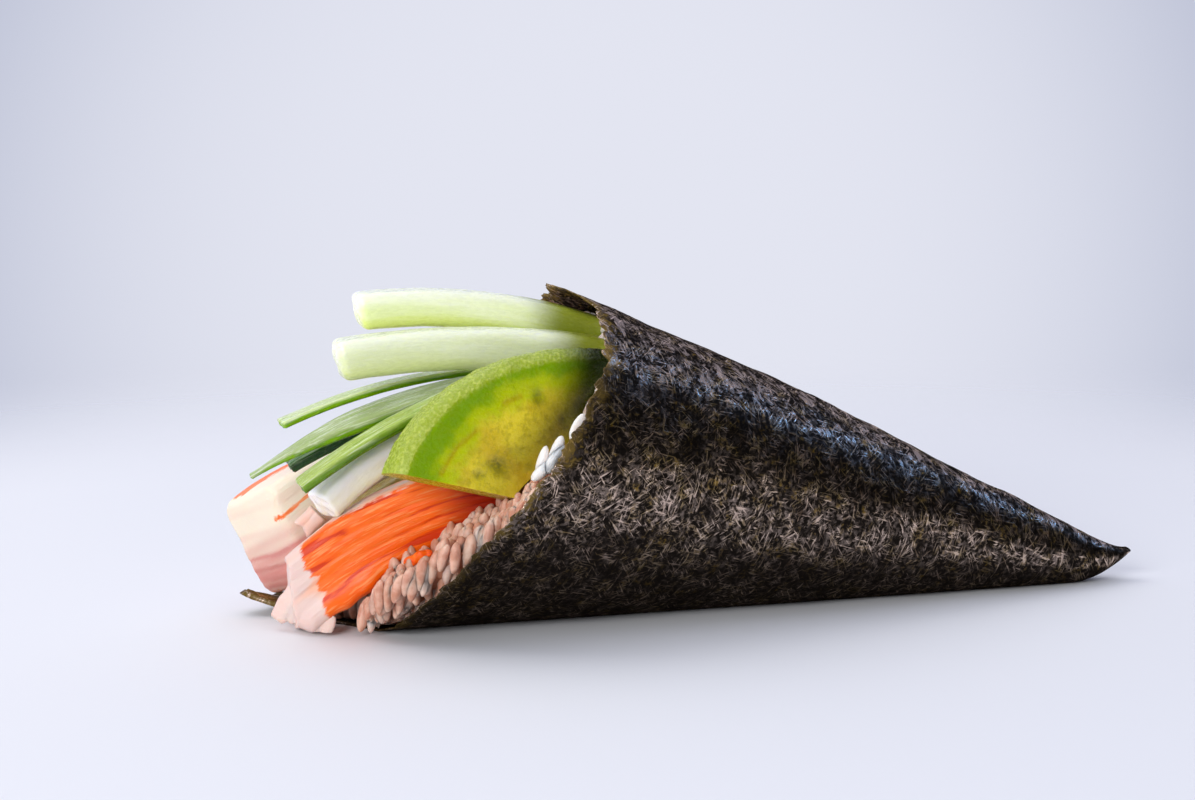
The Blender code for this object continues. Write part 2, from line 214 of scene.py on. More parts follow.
def face_outwards(mesh):
    mesh_edit = bmesh.new()
    mesh_edit.from_mesh(mesh)
    bmesh.ops.recalc_face_normals(mesh_edit, faces=mesh_edit.faces)
    mesh_edit.to_mesh(mesh)
    mesh_edit.free()


def tube_faces(rings, sides):
    """Quads of a grid of rings, and a fan at each end round two extra points after the grid."""
    faces = []
    for ring in range(rings - 1):
        for side in range(sides):
            ahead = (side + 1) % sides
            near, far = ring * sides, (ring + 1) * sides
            faces.append((near + side, near + ahead, far + ahead, far + side))
    first, last = rings * sides, rings * sides + 1
    for side in range(sides):
        ahead = (side + 1) % sides
        faces.append((ahead, side, first))
        faces.append(((rings - 1) * sides + side, (rings - 1) * sides + ahead, last))
    return faces


def close_tube(grid):
    """The points of a tube of rings, with the middle of its first and last ring added."""
    ends = np.array((grid[0].mean(axis=0), grid[-1].mean(axis=0)))
    return np.vstack((grid.reshape(-1, grid.shape[-1]), ends))


def closed_values(values):
    """Values given on a grid of rings, carried on to the two points that close the tube."""
    return {key: close_tube(numbers[..., None])[:, 0] for key, numbers in values.items()}


def grid_normals(grid):
    """Unit normals of a grid of points whose rows are closed rings."""
    along = np.gradient(grid, axis=0)
    round_it = np.roll(grid, -1, axis=1) - np.roll(grid, 1, axis=1)
    normals = np.cross(along, round_it)
    lengths = np.linalg.norm(normals, axis=-1, keepdims=True)
    return normals / np.maximum(lengths, 1e-9)


# ---- shader building -----------------------------------------------------------------------

def new_material(name):
    made = bpy.data.materials.new(name)
    made.use_nodes = True
    return made, made.node_tree, made.node_tree.nodes["Principled BSDF"]


def node(tree, kind, inputs=None, **settings):
    """Add a node to the tree; each input is set, or linked if it is given a node's output."""
    made = tree.nodes.new("ShaderNode" + kind)
    for key, value in settings.items():
        setattr(made, key, value)
    plug(made, inputs or {})
    return made


def plug(made, inputs):
    """Set or link a node's inputs. A node and a socket know their tree as id_data."""
    for key, value in inputs.items():
        socket = made.inputs[key]
        if isinstance(value, bpy.types.NodeSocket):
            made.id_data.links.new(value, socket)
        else:
            socket.default_value = value


def place(tree):
    """Where a point of the surface lies, in millimetres."""
    coords = node(tree, "TexCoord").outputs["Object"]
    return node(tree, "VectorMath", {0: coords, "Scale": 1.0 / MM}, operation="SCALE").outputs[0]


def value_of(tree, name):
    return node(tree, "Attribute", attribute_name=name).outputs["Fac"]


def vector_of(tree, *names):
    """Several of the mesh's own values as one vector."""
    made = node(tree, "CombineXYZ")
    for socket, name in zip("XYZ", names):
        plug(made, {socket: value_of(tree, name)})
    return made.outputs[0]


def grain(where, size, detail=3.0, rough=0.55, seed=0.0, warp=0.0):
    """Noise of about this size in millimetres, along each axis if three sizes are given."""
    sizes = size if isinstance(size, tuple) else (size, size, size)
    tree = where.id_data
    scaled = node(tree, "Mapping", {"Vector": where, "Scale": tuple(1.0 / s for s in sizes),
                                    "Location": (seed, seed * 0.7, seed * 1.3)}).outputs[0]
    return node(tree, "TexNoise", {"Vector": scaled, "Scale": 1.0, "Detail": detail,
                                   "Roughness": rough, "Distortion": warp}).outputs["Fac"]


def span(value, low, high, start=0.0, end=1.0):
    """Map low to high of a value smoothly on to start to end."""
    inputs = {"Value": value, "From Min": low, "From Max": high, "To Min": start, "To Max": end}
    return node(value.id_data, "MapRange", inputs, interpolation_type="SMOOTHSTEP").outputs[0]


def joined(operation, values):
    """The values taken together one after the other by one operation."""
    total = values[0]
    for value in values[1:]:
        total = node(total.id_data, "Math", {0: total, 1: value}, operation=operation).outputs[0]
    return total


def times(*values):
    return joined("MULTIPLY", values)


def plus(*values):
    return joined("ADD", values)


def mixed(share, first, second, blend_type="MIX"):
    """Two colours mixed by a share."""
    made = node(share.id_data, "Mix", data_type="RGBA", blend_type=blend_type)
    plug(made, {0: share, 6: first, 7: second})
    return made.outputs[2]


def bumps(height, depth, normal=None):
    """Bump of this depth in millimetres."""
    inputs = {"Height": height, "Distance": depth * MM, "Strength": 1.0}
    if normal is not None:
        inputs["Normal"] = normal
    return node(height.id_data, "Bump", inputs).outputs[0]


def moist(shader, colour, rough, normal, scatter, specular=0.5):
    """What every moist food has: a colour, a gloss, a bump and light that goes in a little."""
    weight, radius, reach = scatter
    plug(shader, {
        "Base Color": colour, "Roughness": rough, "Normal": normal,
        "Specular IOR Level": specular, "Subsurface Weight": weight,
        "Subsurface Radius": radius, "Subsurface Scale": reach * MM})


def with_tuck_shade(colour, tuck_shade):
    """The same colour with painted shade, darker where the food is tucked in behind the nori."""
    return mixed(value_of(colour.id_data, "tucked"), colour, tuck_shade, "MULTIPLY")


# ---- materials -----------------------------------------------------------------------------

# Painted shade for cucumber where it goes in behind the nori.
CUCUMBER_TUCK_SHADE = tone(150, 156, 56)


def crossed_fibres(tree, sheet):
    """Short fibres that lie every way on the sheet, in tufts."""
    layers = []
    for order, turn in enumerate((14.0, 61.0, 104.0, 152.0)):
        turned = node(tree, "Mapping", {"Vector": sheet, "Rotation": (0, 0, radians(turn))})
        layer = grain(turned.outputs[0], (2.7, 0.37, 1.0), 2.0, 0.5, 7.0 * order, 0.5)
        tuft = grain(sheet, (4.0, 4.0, 1.0), 2.0, 0.5, 31.0 + order)
        layers.append(times(layer, span(tuft, 0.42, 0.58, 0.87, 1.04)))
    return joined("MAXIMUM", layers)


def nori_colour(tree, strands, patches, thin, specks):
    """Near black between tan and golden strands, and a frayed olive rim."""
    colour = mixed(span(patches, 0.36, 0.64), tone(4, 3, 2), tone(13, 10, 6))
    tan_strand = mixed(span(thin, 0.42, 0.60), tone(108, 86, 64), tone(108, 90, 26))
    share = times(strands, span(patches, 0.30, 0.62, 0.2, 0.9))
    colour = mixed(share, colour, tan_strand)
    gold = times(span(specks, 0.50, 0.68), span(thin, 0.50, 0.64), 0.7)
    colour = mixed(gold, colour, tone(128, 100, 16))
    rim = plus(value_of(tree, "rim"), span(specks, 0.3, 0.7, -1.6, 1.6),
               span(patches, 0.35, 0.65, -0.8, 1.6))
    frayed = times(span(rim, 3.4, 0.2), span(strands, 0.0, 1.0, 0.5, 1.0))
    return mixed(frayed, colour, tone(146, 120, 60))


def nori_gloss(tree, sheet, where, strands, patches, specks):
    """How glossy the sheet is: the strands glint, most of all in slick patches on its crown."""
    worn = grain(where, 2.4, 3.0, 0.6, 17.0)
    slanted = node(tree, "Mapping", {"Vector": sheet, "Rotation": (0, 0, radians(-32.0))})
    streaks = grain(slanted.outputs[0], (6.5, 2.0, 1.0), 4.0, 0.65, 23.0, 0.4)
    raised = plus(strands, span(specks, 0.44, 0.62, 0.0, 0.35))
    glossy = times(raised, span(patches, 0.34, 0.52, 0.20, 1.0),
                   span(worn, 0.36, 0.52, 0.25, 1.0), span(streaks, 0.38, 0.52, 0.35, 1.0))
    slick = times(span(streaks, 0.53, 0.59), span(worn, 0.44, 0.52),
                  times(value_of(tree, "crown"), 0.6))
    return joined("MAXIMUM", (glossy, slick))


def nori_material():
    """Dark dried seaweed: glossy short fibres every way over black pits, a thin olive rim, and painted
    shade below the crown and underneath.
    """
    made, tree, shader = new_material("nori")
    sheet = node(tree, "UVMap", uv_map="sheet").outputs[0]
    where = place(tree)
    patches = grain(where, 5.0, 4.0, 0.6)
    thin = grain(where, 3.2, 4.0, 0.65, 11.0)
    specks = grain(where, 0.9, 3.0, 0.6, 3.0)
    fibres = crossed_fibres(tree, sheet)
    strands = span(fibres, 0.58, 0.70)
    # Painted shade: darker and less glossy underneath and in the band below the crown.
    paler_part = times(span(value_of(tree, "underneath"), 0.0, 1.0, 1.0, 0.22),
                span(value_of(tree, "painted_dark_band"), 0.0, 1.0, 1.0, 0.5))
    colour = mixed(paler_part, tone(7, 5, 4), nori_colour(tree, strands, patches, thin, specks))
    glossy = times(nori_gloss(tree, sheet, where, strands, patches, specks), paler_part)
    lumps = plus(specks, times(thin, 2.0))
    plug(shader, {
        "Base Color": colour, "Roughness": span(glossy, 0.0, 1.0, 0.40, 0.18),
        "Normal": bumps(lumps, 0.10, bumps(fibres, 0.11)),
        "Specular IOR Level": 1.0, "IOR": 3.2,
        "Specular Tint": mixed(glossy, (0.018, 0.014, 0.012, 1.0), (1.0, 0.78, 0.66, 1.0))})
    return made


def rice_material(name, paler_part, damp):
    """Moist, cloudy rice, mixed towards white by the pale value; its pink tones are painted shade and
    orange bounce light.
    """
    made, tree, shader = new_material(name)
    where = place(tree)
    cloud = grain(where, 2.2, 3.0, 0.5)
    fine = grain(where, 0.35, 2.0, 0.5, 5.0)
    colour = mixed(span(cloud, 0.35, 0.65), damp, paler_part)
    colour = mixed(value_of(tree, "pale"), colour, tone(248, 243, 238))
    moist(shader, colour, span(fine, 0.3, 0.7, 0.32, 0.50),
          bumps(plus(cloud, times(fine, 0.3)), 0.08),
          (0.9, (1.0, 0.86, 0.78), 1.9), specular=0.35)
    return made


def flesh_material(name, top, low, vein, wet):
    """Wet cucumber flesh, paler on top, with faint long veins, and painted shade next to the nori."""
    made, tree, shader = new_material(name)
    along = vector_of(tree, "along", "across", "up")
    veins = grain(along, (20.0, 1.6, 1.6), 3.0, 0.5)
    fine = grain(along, (1.6, 0.5, 0.5), 3.0, 0.6, 4.0)
    height = plus(value_of(tree, "level"), span(veins, 0.3, 0.7, -0.22, 0.22))
    colour = mixed(span(height, -0.9, 0.9), low, top)
    colour = mixed(span(veins, 0.45, 0.75, 0.0, 0.25), colour, vein)
    colour = mixed(span(value_of(tree, "cut"), 0.2, 1.0, 0.0, 0.4), colour, vein)
    moist(shader, with_tuck_shade(colour, CUCUMBER_TUCK_SHADE),
          span(fine, 0.3, 0.7, wet - 0.06, wet + 0.14),
          bumps(plus(times(veins, 0.6), fine), 0.13),
          (0.6, (1.0, 1.0, 0.45), 2.4))
    return made


def strip_material(name, flesh, skin, dark, skin_from, skin_to):
    """A thin cucumber strip: pale wet flesh on top with painted highlight streaks, and green skin
    towards its lower edge.
    """
    made, tree, shader = new_material(name)
    along = vector_of(tree, "along", "across", "up")
    streaks = grain(along, (9.0, 0.5, 0.5), 3.0, 0.6)
    fine = grain(along, (1.2, 0.35, 0.35), 3.0, 0.6, 9.0)
    level = plus(value_of(tree, "level"), span(streaks, 0.3, 0.7, -0.25, 0.25))
    green = mixed(span(streaks, 0.4, 0.7), skin, dark)
    # The near-white streaks are painted wet highlights.
    pale = mixed(span(streaks, 0.48, 0.66, 0.0, 0.6), flesh, tone(226, 236, 206))
    pale = mixed(span(streaks, 0.44, 0.30, 0.0, 0.6), pale, skin)
    colour = mixed(span(level, skin_from, skin_to), green, pale)
    moist(shader, with_tuck_shade(colour, CUCUMBER_TUCK_SHADE),
          span(fine, 0.3, 0.7, 0.10, 0.32), bumps(plus(streaks, fine), 0.20),
          (0.35, (0.7, 1.0, 0.3), 1.2))
    return made


def avocado_flesh(tree, where):
    """Green next to the skin and yellow inside, with riper and mottled places."""
    cloud = grain(where, 4.5, 4.0, 0.6)
    broad = grain(where, 9.0, 3.0, 0.5, 2.0)
    spots = grain(where, 1.5, 4.0, 0.7, 12.0)
    depth = plus(value_of(tree, "depth"), span(cloud, 0.3, 0.7, -0.05, 0.05))
    colour = mixed(span(depth, 0.14, 0.30), tone(122, 160, 0), tone(182, 196, 4))
    colour = mixed(span(depth, 0.28, 0.48), colour, tone(226, 208, 52))
    ripe = times(span(broad, 0.42, 0.62), span(depth, 0.30, 0.46, 0.0, 0.5))
    colour = mixed(ripe, colour, tone(190, 152, 26))
    mottle = times(span(spots, 0.46, 0.66), span(depth, 0.22, 0.50, 0.1, 0.55))
    colour = mixed(mottle, colour, tone(160, 146, 14))
    return mixed(span(depth, 0.7, 1.0, 0.0, 0.7), colour, tone(196, 150, 20))


def avocado_material():
    """Avocado flesh with a few bruises and a peeled, glinting skin side."""
    made, tree, shader = new_material("avocado")
    where = place(tree)
    fine = grain(where, 0.6, 3.0, 0.6, 6.0)
    peeled = value_of(tree, "peel")
    peel = mixed(span(fine, 0.46, 0.72), tone(150, 168, 26), tone(192, 202, 92))
    colour = mixed(peeled, avocado_flesh(tree, where), peel)
    speckled = times(value_of(tree, "bruise"), span(fine, 0.36, 0.60, 0.5, 1.0))
    colour = mixed(speckled, colour, tone(74, 84, 4))
    colour = mixed(value_of(tree, "scratch"), colour, tone(164, 112, 8))
    relief = times(fine, span(peeled, 0.0, 1.0, 0.35, 1.0))
    # Painted shade: dark green where the slice goes in behind the nori.
    moist(shader, with_tuck_shade(colour, tone(54, 62, 6)),
          span(fine, 0.35, 0.7, 0.20, 0.42), bumps(relief, 0.26),
          (0.3, (1.0, 0.9, 0.15), 1.6), specular=0.45)
    return made


def crab_paint(tree, streaks, threads, paint, paint_dark):
    """The painted outside: darker in the valleys between the fibres, lighter on the threads."""
    valley = plus(value_of(tree, "valley"), span(streaks, 0.3, 0.7, -0.35, 0.35))
    deep = mixed(span(streaks, 0.38, 0.64), paint, tone(255, 96, 4))
    deep = mixed(span(valley, 0.52, 0.95), deep, paint_dark)
    light = times(span(threads, 0.49, 0.66), span(valley, 0.6, 0.1, 0.0, 0.65))
    return mixed(light, deep, tone(255, 168, 104))


def crab_material(name, paint, paint_dark, pale, blush, seed):
    """Surimi: pale fibres, painted on the outside."""
    made, tree, shader = new_material(name)
    along = vector_of(tree, "along", "across", "up")
    streaks = grain(along, (15.0, 1.3, 1.3), 4.0, 0.6, float(seed), 0.3)
    threads = grain(along, (6.0, 0.32, 0.32), 3.0, 0.6, 8.0, 0.4)
    flecks = grain(along, (1.8, 0.7, 0.7), 3.0, 0.6, 13.0)
    white = mixed(value_of(tree, "blush"), pale, blush)
    edge = plus(value_of(tree, "paint"), span(threads, 0.3, 0.7, -0.20, 0.20),
                span(flecks, 0.3, 0.7, -0.16, 0.16))
    colour = mixed(span(edge, 0.25, 0.65), white,
                   crab_paint(tree, streaks, threads, paint, paint_dark))
    # Painted shade where the crab goes in behind the nori.
    moist(shader, with_tuck_shade(colour, tone(180, 110, 60)),
          span(threads, 0.3, 0.7, 0.28, 0.50), bumps(plus(streaks, threads), 0.12),
          (0.25, (1.0, 0.4, 0.25), 1.4), specular=0.3)
    return made


# ---- the cone of nori ----------------------------------------------------------------------

def soft_ramp(value, softness):
    """0 below 0 and the value itself above 0, with the corner rounded off."""
    return 0.5 * (value + np.sqrt(value * value + softness * softness))


def wrap_top(x):
    rise = soft_ramp(SLOPE * (SLOPE_ENDS - x), SLOPE_BLEND)
    return POINT_Z + rise - DROOP_SLOPE * soft_ramp(DROOP_X - x, DROOP_BLEND)


def wrap_underside(x):
    return (POINT_Z - CAD_SHEET) * np.maximum((x - HEEL_X) / HEEL_LENGTH, 0.0) ** HEEL_POWER


def tongue_lift(x):
    return TONGUE_LIFT * np.maximum((TONGUE_LIFT_FROM - x) / TONGUE_LENGTH, 0.0) ** TONGUE_POWER


def cone_size(x):
    """Heights of the cone's top and underside at x, and half its height and its width."""
    top, low = wrap_top(x), wrap_underside(x)
    return top, low, 0.5 * (1.0 + PRESSED) * (top - low), 0.5 * (top - HEEL_PINCH * low)


def cone_middle(x):
    """A point well inside the cone at x."""
    return np.stack((x, AXIS_LEAN * (POINT_X - x), 0.5 * wrap_top(x)), axis=-1)


def cone_points(x, angles):
    """Points of the cone at these x and angles."""
    top, low, rise, reach = cone_size(x)
    turn = np.radians(angles)
    y = AXIS_LEAN * (POINT_X - x) - reach * np.sin(turn)
    z = np.maximum(top - rise + rise * np.cos(turn), low)
    return np.stack((x, y, z + tongue_lift(x)), axis=-1)


def in_cone(points):
    """Each point's angle round the cone, its share of the way out, and the cone's half height."""
    x = points[:, 0]
    top, _, rise, reach = cone_size(x)
    up = (points[:, 2] - (top - rise)) / rise
    side = (points[:, 1] - AXIS_LEAN * (POINT_X - x)) / reach
    return np.degrees(np.arctan2(-side, up)) % 360.0, np.hypot(up, side), rise


def unrolled_angle(angles):
    """How far round the flat, unrolled sheet each angle round the cone lies."""
    steps = np.arange(0.0, 721.0)
    ring = cone_points(np.full(steps.shape, DROOP_X), steps)
    spokes = ring - np.array((POINT_X, 0.0, POINT_Z))
    spokes /= np.linalg.norm(spokes, axis=1, keepdims=True)
    turns = np.arccos(np.clip((spokes[1:] * spokes[:-1]).sum(axis=1), -1.0, 1.0))
    return np.interp(angles, steps, np.concatenate(((0.0,), np.cumsum(turns))))


def ragged_rim(angles):
    """How far the torn edge of the sheet strays at each angle."""
    turn = np.radians(angles)
    circle = 30.0 * np.stack((np.cos(turn), np.sin(turn), np.zeros(turn.shape)), axis=-1)
    torn = 1.1 * waves(circle, 5.0, 1) + 0.9 * waves(circle, 1.7, 2) + 0.6 * waves(circle, 0.7, 3)
    return torn + on_tongue(angles) * (1.3 * waves(circle, 1.1, 4) + 1.2)


def on_tongue(angles):
    """1 in the middle of the corner that lies out on the table, 0 away from it."""
    return np.exp(-((np.mod(angles, 360.0) - TONGUE_MIDDLE) / 9.0) ** 2)


def nori_relief(grid, x, angles, rim):
    """How far the sheet stands off the plain cone: rice behind it, creases and its free edge."""
    lumps = 0.42 * waves(grid, 17.0, 5) + 0.24 * waves(grid, 6.0, 6) + 0.09 * waves(grid, 2.0, 7)
    crease = np.abs(np.mod(angles, 360.0) - CREASE_ANGLE - 1.5 * np.sin(x / 9.0))
    lumps -= CREASE_DEPTH * np.exp(-(crease / 1.6) ** 2) * smooth_step(30.0, 55.0, x)
    past = np.linspace(0.0, 360.0, grid.shape[1], endpoint=False)
    lumps += SEAM_STEP * np.clip(1.0 - past / SEAM_BLEND, 0.0, 1.0)[None, :] ** 1.6
    curl = 0.35 * waves(grid, 7.0, 8) * np.exp(-rim / 3.0)
    rest = smooth_step(0.05, 2.5, grid[..., 2]) * smooth_step(0.0, 12.0, POINT_X - x)
    return (lumps + curl) * rest


def sheet_grid():
    """Where the sheet's rings cross its rays: x, and the angle round the cone."""
    steps = np.linspace(0.0, 1.0, NORI_RINGS)
    shares = (0.5 * steps + 0.25 * (1.0 - np.cos(pi * steps)))[:, None]
    at_rim = SEAM_AT_RIM + np.arange(NORI_SIDES) * 360.0 / NORI_SIDES
    angles = at_rim[None, :] + (SEAM_AT_POINT - SEAM_AT_RIM) * shares
    edge = read_curve(WRAP_EDGE, at_rim) + ragged_rim(at_rim)
    edge = np.maximum(edge, TONGUE_END + 0.9 * np.sin(3.1 * at_rim) * np.sin(1.7 * at_rim))
    return blend(edge[None, :], POINT_X, shares), angles, edge[None, :]


def outer_face(x, angles, rim):
    """The outside of the sheet with its relief, and its unit normals."""
    outer = cone_points(x, angles)
    normals = grid_normals(outer)
    outwards = outer - cone_middle(x)
    normals *= np.sign((outwards * normals).sum(axis=-1, keepdims=True))
    outer = outer + normals * nori_relief(outer, x, angles, rim)[..., None]
    outer[..., 2] = np.maximum(outer[..., 2], 0.0)
    return outer, normals


def unrolled(outer, angles):
    """Where each point of the outside lies on the flat, unrolled sheet, one column more."""
    turn = unrolled_angle(np.concatenate((angles, angles[:, :1] + 360.0), axis=1))
    closed = np.concatenate((outer, outer[:, :1]), axis=1)
    reach = np.linalg.norm(closed - np.array((POINT_X, 0.0, POINT_Z)), axis=-1)
    return np.stack((reach * np.cos(turn), reach * np.sin(turn)), axis=-1)


def make_nori(finish):
    """The sheet: an outer face with its relief, and an inner face one thickness behind it."""
    x, angles, edge = sheet_grid()
    rim = x - edge
    outer, normals = outer_face(x, angles, rim)
    corner = on_tongue(angles) * smooth_step(16.0, 5.0, rim)
    thick = NORI_THICK * np.where(rim < 0.4, 0.6 + 0.4 * waves(outer, 0.9, 9), 1.0)
    thick = thick * (1.0 + TONGUE_FOLD * corner * (1.0 + 0.5 * waves(outer, 1.5, 10)))
    from_top = 180.0 - np.abs(np.mod(angles, 360.0) - 180.0)
    # underneath and the dark band say where the sheet gets painted shade.
    values = {"rim": (rim * (1.0 - 0.95 * corner), 90.0),
              "underneath": (smooth_step(*UNDERNEATH, from_top) * (1.0 - corner), 1.0),
              "crown": (smooth_step(*CROWN, from_top), 0.0),
              "painted_dark_band": (smooth_step(*PAINTED_DARK_BAND[0], from_top) * smooth_step(*PAINTED_DARK_BAND[1], from_top),
                       0.0)}
    rows = [row for row in NORI_INNER_RINGS if x[row].min() < HOLLOW_END][::-1]
    grid = np.concatenate((outer[rows] - normals[rows] * thick[rows][..., None], outer))
    values = {key: np.append(np.concatenate((numbers[rows], numbers)).ravel(), (at_ends, at_ends))
              for key, (numbers, at_ends) in values.items()}
    flat = unrolled(outer, angles)
    add_piece("nori_sheet", close_tube(grid), tube_faces(*grid.shape[:2]), finish,
              "nori_wrap", values=values, uvs=tube_uvs(np.concatenate((flat[rows], flat))))


def tube_uvs(flat):
    """UVs for the faces of tube_faces, from a grid with one column more than the tube."""
    quads = np.stack((flat[:-1, :-1], flat[:-1, 1:], flat[1:, 1:], flat[1:, :-1]), axis=2)
    caps = []
    for side in range(flat.shape[1] - 1):
        caps += [flat[0, side + 1], flat[0, side], flat[0, side]]
        caps += [flat[-1, side], flat[-1, side + 1], flat[-1, side]]
    return np.concatenate((quads.reshape(-1, 2), np.array(caps)))


# ---- sticks --------------------------------------------------------------------------------

@dataclass
class Stick:
    """A cut strip that follows a smooth bend, with the same sizes as its CAD solid."""
    name: str
    tip: tuple
    mouth: tuple
    root: tuple
    width: float
    height: float
    tip_width: float = 0.0
    tip_height: float = 0.0
    taper: float = 0.3
    corner: float = 0.25
    roll: float = 0.0
    slant: float = 0.0
    rake: float = 0.0
    nose: float = 0.25      # how far the cut end's edge is rounded off


STICKS = {stick.name: stick for stick in (
    Stick("cucumber_top", (-13.0, 10.0, 56.5), (17.5, 9.4, 54.8), (45.0, 8.5, 44.8),
          7.0, 6.8, rake=-0.15, nose=1.5),
    Stick("cucumber_second", (-18.0, 3.0, 48.6), (12.0, 2.0, 49.9), (43.0, 0.5, 44.8),
          7.4, 7.4, rake=-0.1, nose=1.7),
    Stick("strip_far", (-27.4, 8.0, 36.7), (-2.0, 9.5, 43.7), (25.0, 10.5, 44.5), 4.6, 1.4),
    Stick("strip_pointed", (-34.6, -2.5, 29.2), (-6.0, -1.2, 41.1), (26.0, 5.0, 43.6),
          6.0, 2.4, tip_width=1.6, tip_height=0.7, taper=0.35, roll=12),
    Stick("strip_dark", (-26.8, 3.2, 29.9), (-6.0, 3.8, 38.2), (22.0, 4.6, 40.4),
          4.6, 2.2, roll=8),
    Stick("strip_near", (-26.4, -7.0, 27.9), (-9.0, -7.0, 38.4), (7.0, -6.1, 44.6),
          4.2, 2.1, roll=12),
    Stick("stick_pale", (-21.8, -2.0, 23.2), (-5.4, -2.3, 35.0), (34.0, -3.3, 34.2),
          6.0, 6.0, roll=14, slant=0.35, rake=0.2, nose=0.6),
    Stick("stick_shaded", (-18.8, 7.2, 14.4), (-3.4, 6.8, 25.0), (37.0, 3.6, 29.5), 5.0, 5.6),
    Stick("crab_near", (-27.2, 0.8, 7.1), (0.4, -5.5, 23.2), (36.0, -6.0, 22.0),
          8.0, 12.6, tip_height=10.8, slant=0.35, rake=0.7),
    Stick("crab_far", (-28.9, 15.6, 13.2), (-5.0, 15.8, 26.0), (38.0, 11.0, 26.0),
          10.0, 12.0, tip_width=11.5, tip_height=19.5, taper=0.5, corner=0.16, slant=0.75, rake=0.25,
          nose=1.1),
    Stick("crab_flake", (-24.0, 6.3, 17.4), (-22.6, 6.0, 18.9), (-21.2, 5.7, 20.4),
          2.4, 4.0, tip_height=4.8, corner=0.5, nose=0.9),
)}
STICK_CUT_REACH = 1.2
STICK_FLOOR = 0.4
CUT_SMALLEST = 0.2         # the rounded edge leaves at least this share of the cut end
RELIEF_AT_CUT = 0.3        # the share of the relief that is left at the cut end
END_LUMPS_REACH = 1.2      # millimetres over which the lumps of the cut end die out
CUT_LOOK_REACH = 0.5       # and the look of cut flesh
TUCK = (-10.0, -1.0)       # millimetres past the edge of the nori where the painted shade starts and ends
TUCK_EDGE = 6.0            # where the tongue counts as no edge
CAP_SHARES = np.linspace(0.05, 0.985, 20)              # rings of the cut end, from its middle
EDGE_STEPS = (0.0, 0.08, 0.25, 0.5, 0.85, 1.3, 1.8)    # millimetres from the cut end


def bend_knots(stick):
    return (Vector(point) for point in (stick.tip, stick.mouth, stick.root))


def bend_point(stick, share):
    """Point and direction on the parabola through the stick's tip, mouth and root."""
    tip, mouth, root = bend_knots(stick)
    first = (mouth - tip).length
    middle = first / (first + (root - mouth).length)
    to_mouth = (mouth - tip) / middle
    curve = ((root - tip) - to_mouth) / (1.0 - middle)
    point = tip + to_mouth * share + curve * share * (share - middle)
    direction = to_mouth + curve * (2.0 * share - middle)
    return point, direction.normalized()


def stick_length(stick):
    tip, mouth, root = bend_knots(stick)
    return (mouth - tip).length + (root - mouth).length


def rounded_outline(width, height, corner, sides):
    """Points evenly spaced round a rectangle with round corners, as (across, up)."""
    radius = corner * min(width, height)
    dense = []
    for quarter in range(4):
        middle = (quarter + 0.5) * pi / 2.0
        across = (width / 2.0 - radius) * (1 if cos(middle) > 0 else -1)
        up = (height / 2.0 - radius) * (1 if sin(middle) > 0 else -1)
        for turn in np.linspace(quarter * pi / 2.0, (quarter + 1) * pi / 2.0, 9):
            dense.append((across + radius * cos(turn), up + radius * sin(turn)))
    dense = np.array(dense + dense[:1])
    steps = np.concatenate(((0.0,), np.cumsum(np.linalg.norm(np.diff(dense, axis=0), axis=1))))
    spots = np.linspace(0.0, steps[-1], sides, endpoint=False)
    return np.stack([np.interp(spots, steps, dense[:, i]) for i in (0, 1)], axis=-1)


def stick_axes(stick, share):
    """The middle of the stick here, and the ways ahead, to the near side and up."""
    point, ahead = bend_point(stick, share)
    near = ahead.cross(Vector((0, 0, 1))).normalized()
    near = Matrix.Rotation(radians(stick.roll), 3, ahead) @ near
    return (np.array(way) for way in (point, ahead, near, near.cross(ahead)))


def stick_section(stick, outline, along, share, size):
    """The outline here: narrower towards a narrow tip, and rounded off at the cut end's edge."""
    taper = float(smooth_step(0.0, stick.taper, share))
    wide = blend((stick.tip_width or stick.width) / stick.width, 1.0, taper)
    high = blend((stick.tip_height or stick.height) / stick.height, 1.0, taper)
    left = max(1.0 - along / stick.nose, 0.0)
    edge = stick.nose * (1.0 - (1.0 - left * left) ** 0.5)
    shrunk = 1.0 - 2.0 * edge / np.array((wide * stick.width, high * stick.height))
    return outline * (wide, high) * size * np.maximum(shrunk, CUT_SMALLEST)


def stick_grid(stick, stations, sides, relief, end_relief):
    """Rings of points from the middle of the cut end to the root, and each point's own place.

    relief gives how far the sides stand out and end_relief how far the cut end sticks out, both
    from the place (along, across, up) in millimetres on the straight stick.
    """
    length = stick_length(stick)
    outline = rounded_outline(stick.width, stick.height, stick.corner, sides)
    fade = STICK_CUT_REACH * max(stick.width, stick.height)
    along_sides = (*EDGE_STEPS, *np.linspace(EDGE_STEPS[-1], length, stations)[1:])
    steps = [(0.0, share, 1.0) for share in CAP_SHARES]
    steps += [(step, 1.0, 0.0) for step in along_sides]
    grid, own, cut = [], [], []
    for along, size, at_cut in steps:
        share = along / length
        point, ahead, near, up = stick_axes(stick, share)
        flat = stick_section(stick, outline, along, share, size)
        places = np.column_stack((np.full(sides, along), flat))
        outward = flat / np.maximum(np.linalg.norm(flat, axis=1, keepdims=True), 1e-6)
        stands_out = relief(places) * size * min(1.0, RELIEF_AT_CUT + along)
        flat = flat + outward * stands_out[:, None]
        lean = max(1.0 - along / fade, 0.0)
        back = lean * (stick.slant * flat[:, 0] + stick.rake * flat[:, 1])
        back -= end_relief(places) * np.exp(-along / END_LUMPS_REACH)
        grid.append(point + flat[:, :1] * near + flat[:, 1:] * up + back[:, None] * ahead)
        own.append(places)
        cut.append(np.full(sides, at_cut + (1.0 - at_cut) * np.exp(-along / CUT_LOOK_REACH)))
    return np.array(grid), np.array(own), np.array(cut)


def tucked(grid):
    """How far each point has gone in behind the edge of the nori, from 0 to 1."""
    angle, _, _ = in_cone(grid.reshape(-1, 3))
    edge = np.maximum(read_curve(WRAP_EDGE, angle), TUCK_EDGE).reshape(grid.shape[:-1])
    return smooth_step(*TUCK, grid[..., 0] - edge)


